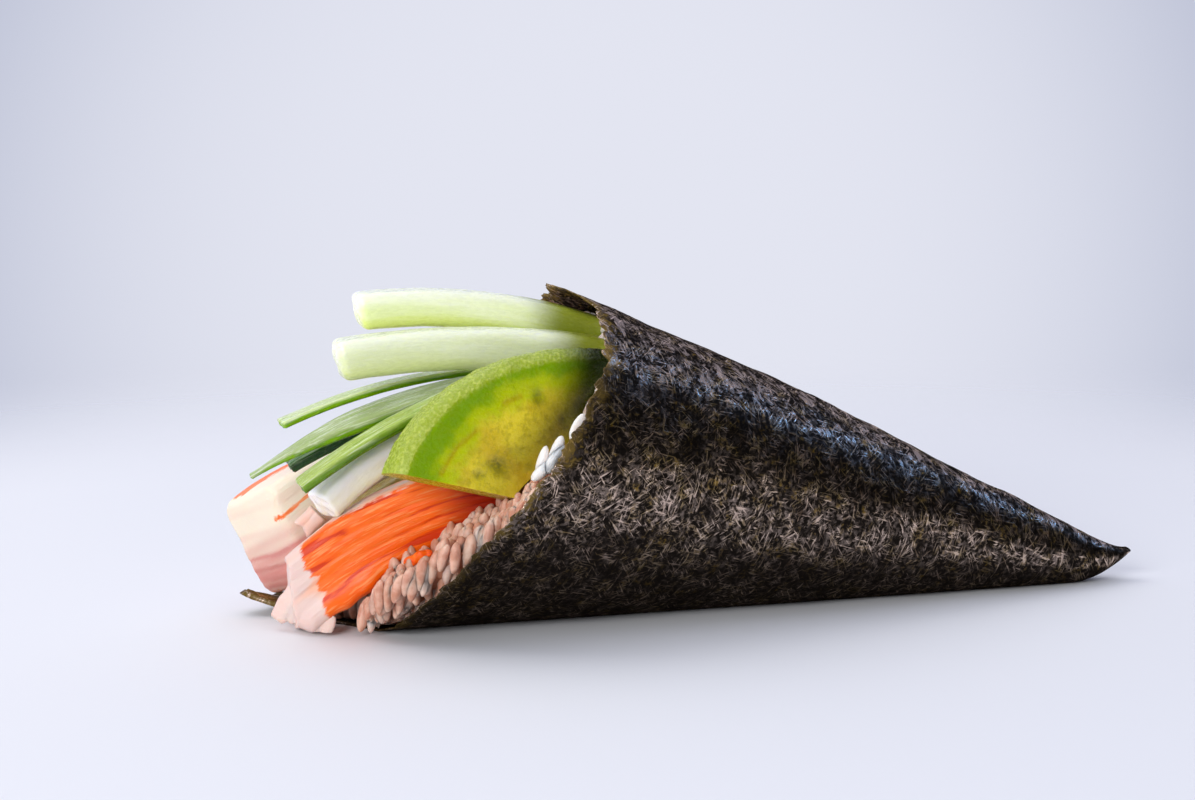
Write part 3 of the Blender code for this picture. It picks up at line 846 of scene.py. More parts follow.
def make_stick(name, finish, slot, stations, sides, relief, end_relief, look=None):
    """One stick; look gives the values that only its own material reads."""
    stick = STICKS[name]
    grid, own, cut = stick_grid(stick, stations, sides, relief, end_relief)
    grid[..., 2] = np.maximum(grid[..., 2], STICK_FLOOR)
    level = own[..., 2] / (0.5 * stick.height)
    values = {"along": own[..., 0], "across": own[..., 1], "up": own[..., 2],
              "level": level, "cut": cut, "tucked": tucked(grid)}
    if look:
        values.update(look(stick, own, cut))
    add_piece(name + "_cut", close_tube(grid), tube_faces(*grid.shape[:2]), finish, name,
              values=closed_values(values))


def flesh_relief(seed, depth):
    """Soft unevenness of wet cucumber flesh, drawn out along the stick."""
    def relief(places):
        return depth * (waves(places, (9.0, 2.2, 2.2), seed)
                        + 0.35 * waves(places, (3.0, 0.7, 0.7), seed + 1))
    return relief


def end_lumps(depth, size, seed):
    """Soft unevenness of a cut end."""
    def relief(places):
        return depth * waves(places, (50.0, size, size), seed)
    return relief


# Stick, material, colours (top, low, vein), wetness, slot, relief, end lumps, stations and sides.
FLESH_STICKS = (
    ("cucumber_top", "cucumber_flesh", ((242, 248, 222), (218, 230, 136), (246, 248, 232)), 0.24,
     "cucumber", 0.16, (0.3, 2.0), (60, 48)),
    ("cucumber_second", "cucumber_pale", ((234, 239, 212), (212, 220, 158), (242, 244, 228)), 0.24,
     "cucumber", 0.16, (0.3, 2.0), (60, 48)),
    ("stick_pale", "cucumber_heart", ((248, 248, 240), (230, 226, 196), (252, 252, 248)), 0.12,
     "cucumber_heart", 0.2, (0.25, 1.6), (60, 48)),
    # Painted shadow: this stick's brown-yellow tones are cucumber lying in shade.
    ("stick_shaded", "cucumber_shaded", ((214, 190, 120), (196, 160, 84), (206, 190, 120)), 0.24,
     "cucumber", 0.16, (0.3, 1.6), (50, 40)),
)
# Strip, material, colours (flesh, skin, dark skin), and the levels between which skin turns to flesh.
SKIN_STRIPS = (
    ("strip_far", "skin_bright", ((206, 220, 156), (140, 186, 0), (92, 150, 0)), (-0.1, 0.8)),
    ("strip_pointed", "skin_wet", ((160, 176, 112), (128, 176, 0), (60, 116, 0)), (-0.2, 0.35)),
    ("strip_dark", "skin_dark", ((70, 124, 34), (28, 78, 12), (14, 50, 8)), (0.2, 1.2)),
    ("strip_near", "skin_near", ((168, 188, 84), (104, 146, 4), (48, 92, 0)), (-0.2, 1.0)),
)


def make_cucumbers():
    for number, (name, look, colours, wet, slot, depth, lumps, size) in enumerate(FLESH_STICKS):
        seed = 11 + 2 * number
        finish = flesh_material(look, *(tone(*colour) for colour in colours), wet)
        make_stick(name, finish, slot, *size, flesh_relief(seed, depth), end_lumps(*lumps, seed + 1))
    for number, (name, look, colours, levels) in enumerate(SKIN_STRIPS):
        finish = strip_material(look, *(tone(*colour) for colour in colours), *levels)
        make_stick(name, finish, "cucumber_skin", 70, 32, flesh_relief(20 + number, 0.10),
                   end_lumps(0.3, 0.8, 30 + number))


# ---- crab sticks ---------------------------------------------------------------------------

NEAR_PITCH = 2.5
NEAR_SAG = 3.0
FAR_STEP = 0.15
FAR_LAYERS = (-0.22, -0.46, -0.68, -0.84)    # where the thin pink layers lie, up the cut end
SHREDS = 6
SHRED_FROM = ((-25.2, 0.4, 7.6), (-21.5, -3.8, 4.6))       # along the lower end of the near stick
SHRED_TO = ((-30.0, 1.8, 1.5), (-22.0, -4.6, 0.9))         # to the table
SHRED_WIDTH = (1.9, 2.9)
SHRED_THICK = 1.0
SHRED_FLOOR = 0.7
CRUMB_FROM = (-9.2, -13.6, 14.2)    # a torn scrap of the orange skin on the rice
CRUMB_TO = (-4.4, -15.6, 16.8)
CRUMB_SIZE = (0.9, 1.1)             # half its thickness and half its height


def ridge_wave(places, pitch, seed):
    """1 on the crests and 0 in the narrow valleys of long uneven ridges stacked up the stick."""
    sway = 0.75 * waves(places, (22.0, 9.0, 3.2), seed)
    sway = sway + 0.16 * waves(places, (5.0, 3.0, 1.2), seed + 1)
    return np.abs(np.cos(pi * (places[..., 2] / pitch + sway)))


def crab_relief(seed, pitch, depth):
    """Long ridges of pressed fibres with fine threads on them."""
    def relief(places):
        ridges = ridge_wave(places, pitch, seed) ** 0.6 - 0.6
        threads = waves(places, (7.0, 0.7, 0.7), seed + 2)
        lumps = waves(places, (6.0, 4.0, 4.0), seed + 3)
        return depth * (ridges + 0.28 * threads + 0.5 * lumps)
    return relief


def near_relief(places):
    """The near stick's ridges, and its lower edge that sags towards the table behind the cut."""
    sag = smooth_step(-0.5, -1.0, places[..., 2] / (0.5 * STICKS["crab_near"].height))
    sag *= smooth_step(0.0, 3.0, places[..., 0]) * smooth_step(24.0, 9.0, places[..., 0])
    sag *= NEAR_SAG * (1.0 + 0.35 * waves(places, (3.2, 50.0, 50.0), 47))
    return crab_relief(42, NEAR_PITCH, 0.26)(places) + sag


def torn_end(seed, depth, width):
    """Layers that end at different lengths."""
    def relief(places):
        layers = waves(places, (60.0, 6.0 * width, width), seed)
        shreds = waves(places, (60.0, 1.6 * width, 0.5 * width), seed + 1)
        return depth * (layers + 0.45 * shreds)
    return relief


def far_end(places):
    """The far stick's layers end like steps, the lower ones further back."""
    level = places[..., 2] / (0.5 * STICKS["crab_far"].tip_height)
    level = level + 0.10 * waves(places, (60.0, 6.0, 60.0), 53)
    steps = sum(smooth_step(height - 0.02, height + 0.02, level) for height in FAR_LAYERS)
    return FAR_STEP * steps + 0.35 * waves(places, (60.0, 5.0, 3.0), 55)


def near_look(stick, own, cut):
    """Orange on the near side, starting further in towards the bottom of the cut end."""
    across = own[..., 1] / (0.5 * stick.width)
    up = own[..., 2] / (0.5 * stick.height)
    side = smooth_step(-0.2, 0.7, across) * smooth_step(1.08, 0.80, up)
    start = 3.4 + 1.3 * (1.0 - up) + 1.1 * waves(own, (60.0, 2.2, 2.2), 41)
    start = start + 0.7 * waves(own, (60.0, 0.9, 0.9), 43)
    paint = side * smooth_step(-1.4, 1.2, own[..., 0] - start) * (1.0 - cut)
    pink = waves(own, (8.0, 3.0, 2.0), 49) + 0.6 * smooth_step(2.0, 6.0, own[..., 0])
    blush = smooth_step(0.2, 1.0, pink)
    return {"paint": paint, "valley": 1.0 - ridge_wave(own, NEAR_PITCH, 42), "blush": blush}


def far_look(stick, own, cut):
    """Cream above and pinker below, with thin pink layer lines, and orange on the upper corner and the
    lower edge.
    """
    across = own[..., 1] / (0.5 * stick.width)
    up = own[..., 2] / (0.5 * stick.height)
    level = own[..., 2] / (0.5 * stick.tip_height) + 0.10 * waves(own, (9.0, 6.0, 60.0), 53)
    top = smooth_step(0.84, 1.0, up) * smooth_step(0.1, -0.6, across)
    top = top * smooth_step(0.3, 1.5, own[..., 0])
    line = np.exp(-((level - 0.38 - 0.008 * own[..., 0]) / 0.045) ** 2)
    line *= smooth_step(0.7, 0.9, across) * smooth_step(14.0, 9.0, own[..., 0])
    low = smooth_step(-0.88, -1.0, level)
    blush = 0.9 * smooth_step(0.45, -0.7, level) + 0.35 * waves(own, (20.0, 12.0, 1.6), 54)
    lines = sum(np.exp(-((level - height) / 0.035) ** 2) for height in FAR_LAYERS)
    return {"paint": 0.8 * top + 0.45 * low + line, "valley": 0.4 * blush,
            "blush": np.clip(blush + 0.7 * lines, 0.0, 1.0)}


def flake_look(stick, own, cut):
    """Unpainted, pinkish white."""
    plain = np.zeros(cut.shape)
    return {"paint": plain, "valley": plain, "blush": 0.25 + 0.4 * waves(own, 1.6, 57)}


def make_crab():
    near = crab_material("crab_orange", tone(252, 108, 4), tone(216, 58, 0),
                         tone(232, 204, 194), tone(244, 184, 154), 42)
    far = crab_material("crab_cream", tone(250, 160, 104), tone(232, 110, 60),
                        tone(244, 230, 208), tone(222, 148, 138), 52)
    make_stick("crab_near", near, "crab", 120, 120, near_relief, torn_end(45, 0.6, 2.2), near_look)
    make_stick("crab_far", far, "crab", 90, 120, crab_relief(52, 4.2, 0.22),
               far_end, far_look)
    make_stick("crab_flake", near, "crab", 14, 40, crab_relief(58, 4.0, 0.25),
               torn_end(59, 0.9, 2.0), flake_look)
    make_shreds(near)
    make_crumb(near)


def oval(middle, first, second, sides):
    """A ring of points round the middle, with these two half axes."""
    return [middle + cos(turn) * first + sin(turn) * second
            for turn in np.linspace(0.0, 2.0 * pi, sides, endpoint=False)]


def torn_values(points, paint, valley, blush):
    """The values that the crab's material reads, the same all over a torn bit."""
    plain = np.zeros(len(points))
    return {"along": points[:, 0], "across": points[:, 1], "up": points[:, 2],
            "paint": plain + paint, "valley": plain + valley, "blush": plain + blush, "tucked": plain}


def make_shreds(finish):
    """White fibres hanging side by side from the cut end of the near crab stick to the table."""
    draws = random.Random(11)
    sides, rings = 14, 14
    points, faces = [], []
    row = np.array(SHRED_FROM[1]) - np.array(SHRED_FROM[0])
    row /= np.linalg.norm(row)
    for number in range(SHREDS):
        share = (number + draws.uniform(-0.3, 0.3)) / (SHREDS - 1)
        start = blend(*(np.array(end) for end in SHRED_FROM), share)
        stop = blend(*(np.array(end) for end in SHRED_TO), share)
        stop = start + (stop - start) * draws.uniform(0.7, 1.08)
        width = draws.uniform(*SHRED_WIDTH)
        out = np.cross(row, (stop - start) / np.linalg.norm(stop - start))
        grid = []
        for step in np.linspace(0.0, 1.0, rings):
            middle = blend(start, stop, step) + out * 0.8 * step * (1.0 - step)
            size = 1.0 - 0.5 * step ** 3
            grid.append(oval(middle, size * width * row, size * SHRED_THICK * out, sides))
        base = len(points)
        points += close_tube(uneven(np.array(grid), 0.4, 2.2, 70)).tolist()
        faces += [tuple(base + index for index in face) for face in tube_faces(rings, sides)]
    points = np.array(points)
    points[:, 2] = np.maximum(points[:, 2], SHRED_FLOOR)
    add_piece("crab_shreds", points, faces, finish, "crab_near",
              values=torn_values(points, paint=0.0, valley=0.0, blush=0.1))


def make_crumb(finish):
    """The small torn scrap of orange skin that lies on the rice by the lower edge of the stick."""
    sides, rings = 16, 18
    start, stop = np.array(CRUMB_FROM), np.array(CRUMB_TO)
    near = np.array((0.0, -1.0, 0.0))
    up = np.cross(near, (stop - start) / np.linalg.norm(stop - start))
    thick, high = CRUMB_SIZE
    grid = []
    for step in np.linspace(0.02, 0.98, rings):
        size = (1.0 - (2.0 * step - 1.0) ** 2) ** 0.5
        grid.append(oval(blend(start, stop, step), size * thick * near, size * high * up, sides))
    points = close_tube(uneven(np.array(grid), 0.5, 1.4, 80))
    add_piece("crab_crumb", points, tube_faces(rings, sides), finish, "crab_near",
              values=torn_values(points, paint=1.0, valley=0.5, blush=0.0))


# ---- avocado -------------------------------------------------------------------------------

AVOCADO_CENTRE = (22.0, -18.5, 24.0)
AVOCADO_TURN = 10.0
AVOCADO_LEAN = 12.0
AVOCADO_SKIN = (36.4, 28.3)
AVOCADO_STONE = (13.4, 8.0)
AVOCADO_ARC = (162.0, 66.0)
AVOCADO_THICK_SKIN = 8.0
AVOCADO_THICK_STONE = 6.4
AVOCADO_BAND = 2.2          # the near face rounds over into the peeled side here
AVOCADO_SHOULDER = 1.3
AVOCADO_TUCK_SHADE_HEIGHTS = (27.0, 42.0)    # heights between which the painted shade behind the nori sets in
AVOCADO_STEPS = 130
AVOCADO_FACE_STEPS = 44
AVOCADO_PEEL_STEPS = 22
# Marks on the near face: middle (along, up) from the stone's middle, size and strength.
AVOCADO_BRUISES = (
    ((-15.6, 8.5), (2.0, 1.5), 0.85), ((-19.0, 7.0), (1.3, 0.9), 0.7), ((-6.7, 19.7), (1.1, 1.6), 0.8),
    ((-2.4, 15.7), (0.9, 0.9), 0.7), ((-9.4, 7.7), (1.2, 0.9), 0.5), ((-12.6, 10.6), (2.6, 1.0), 0.25),
)
AVOCADO_SCRATCHES = (((-26.3, 7.8), (-23.0, 12.1)), ((-23.0, 12.1), (-19.0, 14.7)),
                     ((-13.2, 19.3), (-10.0, 20.2)))


def avocado_outline(skin, stone, outward):
    """One section of the slice: out along the near face, over the peeled side and back."""
    places, depths, peel = [], [], []
    reach = np.linalg.norm(skin - stone)
    for share in np.linspace(0.0, 1.0, AVOCADO_FACE_STEPS):
        places.append(stone + (skin - outward * 0.5 - stone) * share)
        in_band = max(1.0 - (1.0 - share) * reach / AVOCADO_BAND, 0.0)
        depths.append(AVOCADO_SHOULDER * in_band ** 1.6)
        peel.append(float(smooth_step(0.0, 0.25, in_band)))
    for share in np.linspace(0.0, 1.0, AVOCADO_PEEL_STEPS + 2)[1:-1]:
        swell = 0.5 * (1.0 - (2.0 * share - 1.0) ** 6)
        places.append(skin - outward * (0.5 - swell))
        depths.append(blend(AVOCADO_SHOULDER, AVOCADO_THICK_SKIN, share))
        peel.append(1.0)
    for share in np.linspace(1.0, 0.0, AVOCADO_FACE_STEPS):
        places.append(stone + (skin - outward * 0.5 - stone) * share)
        depths.append(blend(AVOCADO_THICK_STONE, AVOCADO_THICK_SKIN, share))
        peel.append(0.0)
    return np.array(places), np.array(depths), np.array(peel)


def bruise_at(flat):
    """Darkness of the bruises at (along, up) places on the near face."""
    dark = np.zeros(flat.shape[:-1])
    for middle, size, strength in AVOCADO_BRUISES:
        off = (flat - np.array(middle)) / np.array(size)
        dark = np.maximum(dark, strength * np.exp(-(off ** 2).sum(axis=-1)))
    return dark


def scratch_at(flat):
    """Strength of the thin brown lines at (along, up) places on the near face."""
    line = np.zeros(flat.shape[:-1])
    for start, end in AVOCADO_SCRATCHES:
        start, way = np.array(start), np.array(end) - np.array(start)
        share = np.clip(((flat - start) @ way) / (way @ way), 0.0, 1.0)
        gap = np.linalg.norm(flat - start - share[..., None] * way, axis=-1)
        line = np.maximum(line, 0.5 * np.exp(-(gap / 0.45) ** 2))
    return line


def avocado_sections():
    """The slice, section by section: its points, their (along, up), their depth and the peel."""
    turn = Matrix.Rotation(radians(AVOCADO_TURN), 3, "Z")
    turn = np.array(turn @ Matrix.Rotation(radians(-AVOCADO_LEAN), 3, "X"))
    rings, flats, depths, peels = [], [], [], []
    for angle in np.radians(np.linspace(*AVOCADO_ARC, AVOCADO_STEPS)):
        outward = np.array((cos(angle), sin(angle)))
        skin = np.array(AVOCADO_SKIN) * outward
        stone = np.array(AVOCADO_STONE) * outward
        flat, depth, peel = avocado_outline(skin, stone, outward)
        local = np.column_stack((flat[:, 0], depth, flat[:, 1]))
        rings.append(np.array(AVOCADO_CENTRE) + local @ turn.T)
        flats.append(flat)
        inwards = 1.0 - np.linalg.norm(flat - stone, axis=1) / np.linalg.norm(skin - stone)
        depths.append(inwards - 0.10 * smooth_step(110.0, 160.0, np.degrees(angle)))
        peels.append(peel)
    return np.array(rings), np.array(flats), np.array(depths), np.array(peels)


def make_avocado(finish):
    grid, flats, depths, peels = avocado_sections()
    near_face = np.zeros(peels.shape)
    near_face[:, :AVOCADO_FACE_STEPS] = 1.0
    normals = grid_normals(grid)
    middle = grid.mean(axis=1, keepdims=True)
    normals *= np.sign(((grid - middle) * normals).sum(axis=-1, keepdims=True))
    rough = peels * (0.20 * waves(grid, 1.3, 61) + 0.16 * waves(grid, 3.4, 62))
    soft = (1.0 - peels) * (0.16 * waves(grid, 7.0, 63) + 0.05 * waves(grid, 1.6, 64))
    bruises, scratches = bruise_at(flats) * near_face, scratch_at(flats) * near_face
    grid = grid + normals * (rough + soft - 0.35 * bruises - 0.15 * scratches)[..., None]
    # Painted shade where the slice goes in behind the nori, stronger higher up.
    tuck_shade = tucked(grid) * blend(0.2, 1.0, smooth_step(*AVOCADO_TUCK_SHADE_HEIGHTS, grid[..., 2]))
    values = {"depth": depths, "peel": peels, "bruise": bruises, "scratch": scratches,
              "tucked": tuck_shade}
    add_piece("avocado_flesh", close_tube(grid), tube_faces(*grid.shape[:2]), finish,
              "avocado_slice", values=closed_values(values), sharp=50)


# ---- rice ----------------------------------------------------------------------------------

# The apron of rice low in the mouth: angles round the cone, how far out it starts, how far back
# from the edge of the nori it reaches, and how deep under the outside of the cone.
APRON_ANGLES = (126.0, 180.0)
APRON_FROM = -20.0
APRON_BACK = (2.6, 10.0)
APRON_DEEP = (1.6, 7.0)
# How far the rice is drawn back from its solid, by angle round the cone.
RECESSES = ((0.0, 0.0), (55.0, 1.0), (80.0, 1.5), (94.0, 2.0), (108.0, 5.0), (122.0, 5.5),
            (134.0, 2.0), (146.0, 0.0), (360.0, 0.0))
# How far behind the edge of the nori the grains start, by angle round the cone.
RIM_OFFSETS = ((0.0, 2.0), (60.0, 2.5), (108.0, 2.0), (118.0, 0.0), (126.0, -3.0), (140.0, -7.5),
               (155.0, -6.0), (180.0, -6.0), (230.0, -3.0), (300.0, 2.0), (360.0, 2.0))
MOUTH_MIDDLE = 0.6         # nearer the middle than this, no grain is measured from the edge
RICE_SPOTS = 16000         # random places tried for the grains
APRON_SPOTS = (2600, 900)
# Single grains that show past the edge of the nori: angle round the rim, how far they stand
# out past the edge, and how far in from the outside of the cone.
LIP_GRAINS = ((73.5, 0.1, 1.7), (83.0, 0.8, 2.1), (85.5, 0.2, 1.7), (86.5, 1.8, 3.0),
              (89.5, 0.6, 2.2))


def surface_of(names):
    """One search tree over the surfaces of these CAD nodes, in metres."""
    points, faces = [], []
    for name in names:
        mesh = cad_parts[name].data
        start = len(points)
        points += [vert.co.copy() for vert in mesh.vertices]
        faces += [tuple(start + index for index in face.vertices) for face in mesh.polygons]
    return BVHTree.FromPolygons(points, faces)


def grain_shape():
    """One grain of rice of unit size, blunt at both ends and a little slimmer at one."""
    rings = []
    for step in range(GRAIN_RINGS):
        along = -cos(pi * (step + 0.5) / GRAIN_RINGS)
        size = (1.0 - abs(along) ** 2.3) ** 0.5 * (1.0 + 0.10 * along)
        rings.append([(0.5 * along, 0.5 * size * cos(side), 0.5 * size * sin(side))
                      for side in np.linspace(0.0, 2.0 * pi, GRAIN_SIDES, endpoint=False)])
    points = close_tube(np.array(rings))
    points[-2] = (-0.5, 0.0, 0.0)
    points[-1] = (0.5, 0.0, 0.0)
    return points, tube_faces(GRAIN_RINGS, GRAIN_SIDES)


def recess(points):
    """Draw the rice back behind the edge of the nori on the near side of the mouth."""
    angle, _, _ = in_cone(points)
    behind = points[:, 0] - read_curve(WRAP_EDGE, angle)
    amount = np.interp(angle, *zip(*RECESSES)) * smooth_step(16.0, 2.0, behind)
    moved = points.copy()
    moved[:, 0] += amount
    moved[:, 2] -= SLOPE * 0.5 * amount * np.cos(np.radians(angle))
    return moved


def press_inside(points):
    """Push points that would come through the nori or the table back inside."""
    angle, share, rise = in_cone(points)
    limit = 1.0 - GRAIN_CLEAR / rise
    wrapped = points[:, 0] > read_curve(WRAP_EDGE, angle) - 0.8
    squeeze = np.where(wrapped & (share > limit), limit / share, 1.0)
    centre = np.stack((points[:, 0], AXIS_LEAN * (POINT_X - points[:, 0]),
                       wrap_top(points[:, 0]) - rise), axis=-1)
    pressed = centre + (points - centre) * squeeze[:, None]
    pressed[:, 0] = points[:, 0]
    pressed[:, 2] = np.maximum(pressed[:, 2], GRAIN_FLOOR)
    return pressed


def bare_spots(draws, count):
    """Random places on the rice that neither the nori nor a filling covers, with their normals."""
    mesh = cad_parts["rice"].data
    mesh.calc_loop_triangles()
    nori = surface_of(["nori_wrap"])
    triangles = list(mesh.loop_triangles)
    chosen = draws.choices(triangles, weights=[triangle.area for triangle in triangles], k=count)
    spots = []
    for triangle in chosen:
        corners = [mesh.vertices[index].co for index in triangle.vertices]
        first, second = draws.random() ** 0.5, draws.random()
        point = corners[0] * (1.0 - first) + corners[1] * first * (1.0 - second)
        point = point + corners[2] * first * second
        normal = Vector(triangle.normal)
        if nori.ray_cast(point + normal * 0.05 * MM, normal, 3.0 * MM)[0] is None:
            spots.append((point / MM - SHIFT, normal))
    drawn_back = recess(np.array([point for point, _ in spots]))
    return [(Vector(point), normal) for point, (_, normal) in zip(drawn_back, spots)]


def apron_spots(draws, count):
    """Random places low in the mouth, between the near crab stick and the edge of the nori."""
    spots = []
    for _ in range(count):
        angle = draws.uniform(*APRON_ANGLES)
        edge = max(float(read_curve(WRAP_EDGE, np.array(angle))), APRON_FROM)
        x = edge + draws.uniform(*APRON_BACK)
        point = cone_points(np.array(x), np.array(angle))
        inwards = cone_middle(x) - point
        inwards /= np.linalg.norm(inwards)
        spots.append((Vector(point + inwards * draws.uniform(*APRON_DEEP)), Vector((0.2, 0.0, 1.0))))
    return spots


def grain_axes(draws, normal, standing):
    """Which way a grain lies: its length and its width, each as a unit vector."""
    if standing:
        side = Vector((draws.gauss(0.12, 0.18), draws.gauss(0.0, 0.2), 1.0)).normalized()
        across = side.cross(Vector((0.0, -1.0, 0.0))).normalized()
    else:
        side = normal.orthogonal().normalized()
        side = Matrix.Rotation(draws.uniform(0.0, 2.0 * pi), 3, normal) @ side
        across = normal.cross(side)
        side = Matrix.Rotation(radians(draws.gauss(0.0, 14.0)), 3, across) @ side
    across = Matrix.Rotation(radians(draws.gauss(0.0, 25.0)), 3, side) @ across
    return side, across


def one_grain(draws, side, across):
    """A grain's three axes and its sizes along them."""
    size = [draws.uniform(*limits) for limits in GRAIN_SIZES]
    return np.array((side, across, side.cross(across))), np.array(size)


def in_filling(fillings, point, clear):
    """Whether the point lies in a filling, or nearer to one than clear."""
    nearest, away, _, _ = fillings.find_nearest((point + SHIFT) * MM, 6.0 * MM)
    if nearest is None:
        return False
    off = (point + SHIFT) * MM - nearest
    return off.length < clear * MM or off.dot(away) < 0.0


def lay_grains(draws, spots, taken, spacing, depth, clear):
    """Lay grains on the spots that are this far from the others and from the fillings."""
    fillings = surface_of([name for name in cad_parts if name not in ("rice", "nori_wrap")])
    placed = []
    for point, normal in spots:
        if any((point - other).length < spacing for other in taken):
            continue
        if in_filling(fillings, point, clear):
            continue
        taken.append(point)
        angle, _, _ = in_cone(np.array([point]))
        side, across = grain_axes(draws, normal, STANDING[0] < angle[0] < STANDING[1])
        axes, size = one_grain(draws, side, across)
        placed.append((point - normal * (depth + draws.uniform(-0.25, 0.25)), axes, size))
    return placed


def lip_grains(draws):
    """The few grains that lie along the edge of the nori and show past it."""
    placed = []
    for angle, out, inset in LIP_GRAINS:
        turns = np.array((angle - 3.0, angle, angle + 3.0))
        before, at_rim, after = cone_points(read_curve(WRAP_EDGE, turns), turns)
        side = Vector(after - before).normalized()
        inwards = Vector(cone_middle(at_rim[0]) - at_rim).normalized()
        across = side.cross(inwards).normalized()
        side = Matrix.Rotation(radians(draws.gauss(0.0, 12.0)), 3, inwards) @ side
        middle = Vector(at_rim) + inwards * inset + Vector((-out, 0.0, 0.0))
        placed.append((middle, *one_grain(draws, side, across)))
    return placed


def behind_rim(placed):
    """Only the grains that stay behind the edge of the nori, or lie well in from it."""
    kept = []
    for middle, axes, size in placed:
        angle, share, _ = in_cone(np.array([middle]))
        edge = read_curve(WRAP_EDGE, angle)[0] + np.interp(angle[0], *zip(*RIM_OFFSETS))
        if middle[0] > edge or share[0] < MOUTH_MIDDLE:
            kept.append((middle, axes, size))
    return kept


def paleness(points):
    """How white the rice is: pink low on the near side as painted shade and crab-orange bounce light,
    and painted lighter round WHITE_SPOT.
    """
    angle, _, _ = in_cone(points)
    round_it = smooth_step(45.0, 80.0, np.abs(angle - PINK_MIDDLE))
    away = np.linalg.norm(points - np.array(WHITE_SPOT), axis=-1)
    return 0.45 * round_it + 0.5 * smooth_step(4.5, 2.5, away)


def make_grains(finish):
    """Two layers of grains on the apron and two on the rest, so that no gap shows between them."""
    draws = random.Random(7)
    spots = bare_spots(draws, RICE_SPOTS)
    taken = []
    apron = apron_spots(draws, APRON_SPOTS[0])
    placed = lay_grains(draws, apron, taken, spacing=1.4, depth=0.0, clear=0.8)
    placed += lay_grains(draws, spots, taken, spacing=1.6, depth=0.6, clear=0.4)
    apron = apron_spots(draws, APRON_SPOTS[1])
    placed += lay_grains(draws, apron, [], spacing=1.9, depth=1.4, clear=0.8)
    placed += lay_grains(draws, spots[::-1], [], spacing=2.4, depth=1.8, clear=0.5)
    placed = behind_rim(placed)
    shape, faces = grain_shape()
    points, all_faces, pale = [], [], []
    for number, (middle, axes, size) in enumerate(placed + lip_grains(draws)):
        own = LIP_PALE
        if number < len(placed):
            own = paleness(np.array([middle]))[0] + max(draws.gauss(0.0, 0.12), 0.0)
        pale += [own] * len(shape)
        bent = shape.copy()
        bent[:, 2] += draws.uniform(0.0, 0.16) * (1.0 - 4.0 * bent[:, 0] ** 2)
        points.append(np.array(middle) + (bent * size) @ axes)
        start = number * len(shape)
        all_faces += [tuple(start + index for index in face) for face in faces]
    add_piece("rice_grains", press_inside(np.concatenate(points)), all_faces, finish,
              "rice", values={"pale": pale})


def make_core(finish):
    """The rice behind the grains: the CAD solid drawn in a little."""
    source = put_in_scene("core_source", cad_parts["rice"].data.copy())
    remesh = source.modifiers.new("even", "REMESH")
    remesh.mode = "VOXEL"
    remesh.voxel_size = CORE_VOXEL * MM
    shrink = source.modifiers.new("draw_in", "DISPLACE")
    shrink.strength = -CORE_INSET * MM
    shrink.mid_level = 0.0
    bpy.context.view_layer.update()
    evaluated = source.evaluated_get(bpy.context.evaluated_depsgraph_get())
    mesh = bpy.data.meshes.new_from_object(evaluated)
    points = recess(np.array([vert.co for vert in mesh.vertices]) / MM - np.array(SHIFT))
    points = uneven(points, CORE_LUMPS, CORE_LUMP_SIZE, 90)
    faces = [tuple(face.vertices) for face in mesh.polygons]
    bpy.data.objects.remove(source)
    add_piece("rice_core", points, faces, finish, "rice",
              values={"pale": paleness(points)})


# ---- floor, light and camera ---------------------------------------------------------------

FLOOR_RADIUS = 1.2
FLOOR_AT = (-0.02, -0.10, -0.00005)
FLOOR_FADE = (0.25, 0.44)
VIEW_MIDDLE = (0.2626, 0.9600, -0.1000)   # the brightest direction of the surroundings
# Light from the surroundings: in front of the roll, behind it, from above and from below.
WORLD_FRONT = (0.02, 0.02, 0.025, 1.0)
WORLD_BEHIND = (0.58, 0.61, 0.80, 1.0)
WORLD_ABOVE = (1.02, 1.07, 1.28, 1.0)
WORLD_BELOW = (1.40, 1.36, 1.34, 1.0)
# Name, place, what it is aimed at, size, power and colour.
LIGHTS = (
    ("key", (-0.35, 0.35, 0.75), (-0.02, 0.0, 0.02), (0.8, 0.6), 2.3, (1.0, 0.97, 0.90)),
    ("window", (0.78, 0.12, 0.60), (0.02, 0.0, 0.03), (0.30, 0.14), 0.85, (0.14, 0.44, 1.0)),
    ("fill", (-1.20, -1.24, 0.70), (-0.06, 0.0, 0.03), (1.0, 0.8), 26.0, (0.97, 0.98, 1.0)),
)


def make_floor():
    """A pale floor that fades into the pale surroundings."""
    made, tree, shader = new_material("floor")
    plug(shader, {"Base Color": tone(233, 233, 235), "Roughness": 0.7,
                        "Specular IOR Level": 0.1})
    coords = node(tree, "TexCoord").outputs["Object"]
    radius = node(tree, "VectorMath", {0: coords}, operation="LENGTH").outputs["Value"]
    clear = node(tree, "BsdfTransparent")
    fade = node(tree, "MixShader", {0: span(radius, *FLOOR_FADE),
                                    1: shader.outputs[0], 2: clear.outputs[0]})
    tree.links.new(fade.outputs[0], tree.nodes["Material Output"].inputs["Surface"])
    mesh_edit = bmesh.new()
    bmesh.ops.create_circle(mesh_edit, cap_ends=True, segments=96, radius=FLOOR_RADIUS)
    mesh = bpy.data.meshes.new("floor")
    mesh_edit.to_mesh(mesh)
    mesh_edit.free()
    mesh.materials.append(made)
    floor = put_in_scene("floor", mesh)
    floor.location = FLOOR_AT


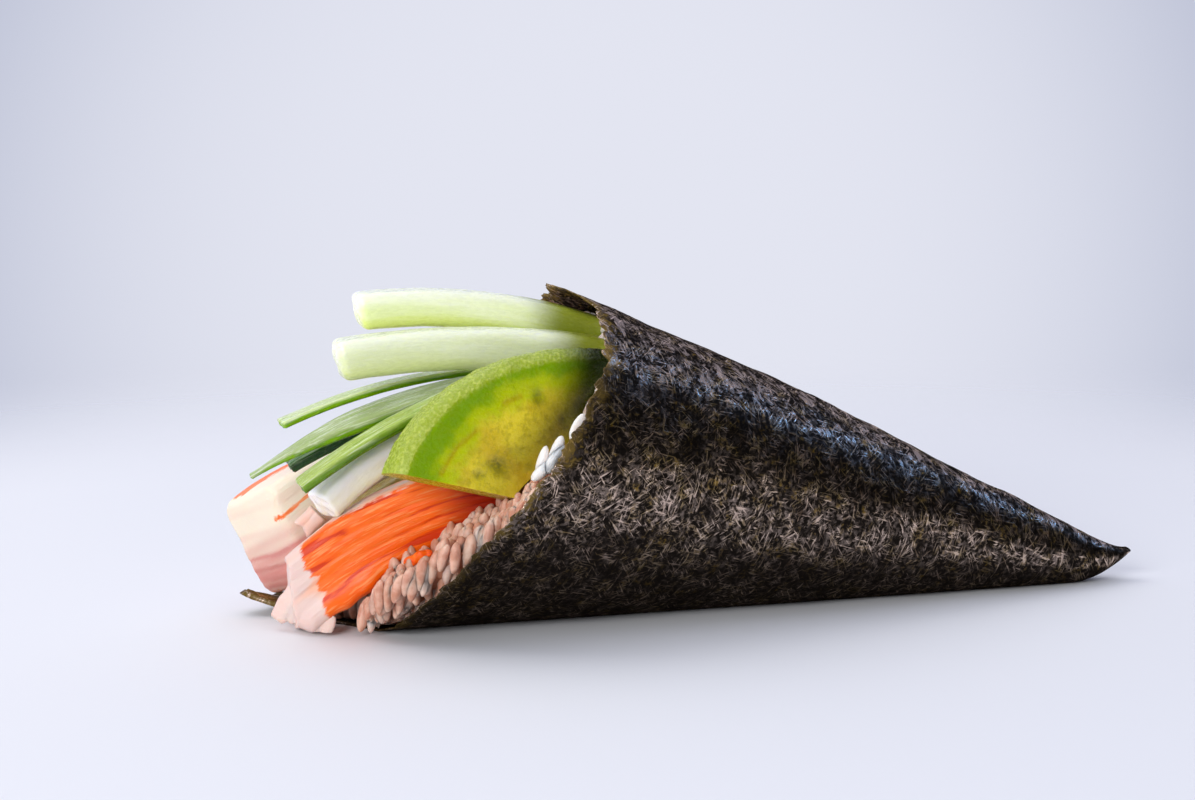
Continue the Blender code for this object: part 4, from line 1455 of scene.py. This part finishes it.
def make_world():
    """Pale surroundings to look at; as light they are bright behind the roll and dark before it."""
    world = bpy.data.worlds.new("studio")
    bpy.context.scene.world = world
    world.use_nodes = True
    tree = world.node_tree
    way = node(tree, "TexCoord").outputs["Generated"]
    parts = node(tree, "SeparateXYZ", {0: way})
    behind = span(parts.outputs["Y"], -0.05, 0.55)
    above = span(parts.outputs["Z"], 0.66, 0.92)
    below = span(parts.outputs["Z"], 0.06, -0.02)
    light = mixed(behind, WORLD_FRONT, WORLD_BEHIND)
    light = mixed(above, light, WORLD_ABOVE)
    light = mixed(below, light, WORLD_BELOW)
    level = node(tree, "VectorMath", {0: way, 1: VIEW_MIDDLE}, operation="DOT_PRODUCT")
    shade = span(level.outputs["Value"], 1.0, 0.952)
    pale = mixed(shade, tone(227, 229, 241), tone(168, 175, 199))
    seen = node(tree, "LightPath").outputs["Is Camera Ray"]
    plug(tree.nodes["Background"], {"Color": mixed(seen, light, pale), "Strength": 1.0})


def make_lights():
    """Three soft lamps. The blue window only shows in reflections."""
    for name, at, aim, size, power, colour in LIGHTS:
        lamp = bpy.data.lights.new(name, "AREA")
        lamp.shape = "RECTANGLE"
        lamp.size, lamp.size_y = size
        lamp.energy = power
        lamp.color = colour
        light = put_in_scene(name, lamp)
        light.location = at
        light.rotation_euler = (Vector(aim) - Vector(at)).to_track_quat("-Z", "Y").to_euler()
        light.visible_diffuse = name != "window"


def make_camera():
    lens = bpy.data.cameras.new("camera")
    lens.sensor_width = 36.0
    lens.lens = 0.5 * lens.sensor_width / tan(radians(0.5 * CAMERA_VIEW))
    camera = put_in_scene("camera", lens)
    camera.location = CAMERA_AT
    camera.rotation_euler = (radians(90.0 - CAMERA_DOWN), 0.0, radians(CAMERA_TURN))
    bpy.context.scene.camera = camera
    bpy.context.scene.view_settings.view_transform = "Standard"


def make_roll():
    make_nori(nori_material())
    # The rice tones are pink-brown: painted shade and orange bounce light from the crab sticks.
    make_core(rice_material("rice_core", tone(198, 138, 112), tone(172, 108, 80)))
    make_grains(rice_material("rice", tone(220, 176, 155), tone(192, 136, 112)))
    make_cucumbers()
    make_crab()
    make_avocado(avocado_material())


make_roll()
make_floor()
make_world()
make_lights()
make_camera()
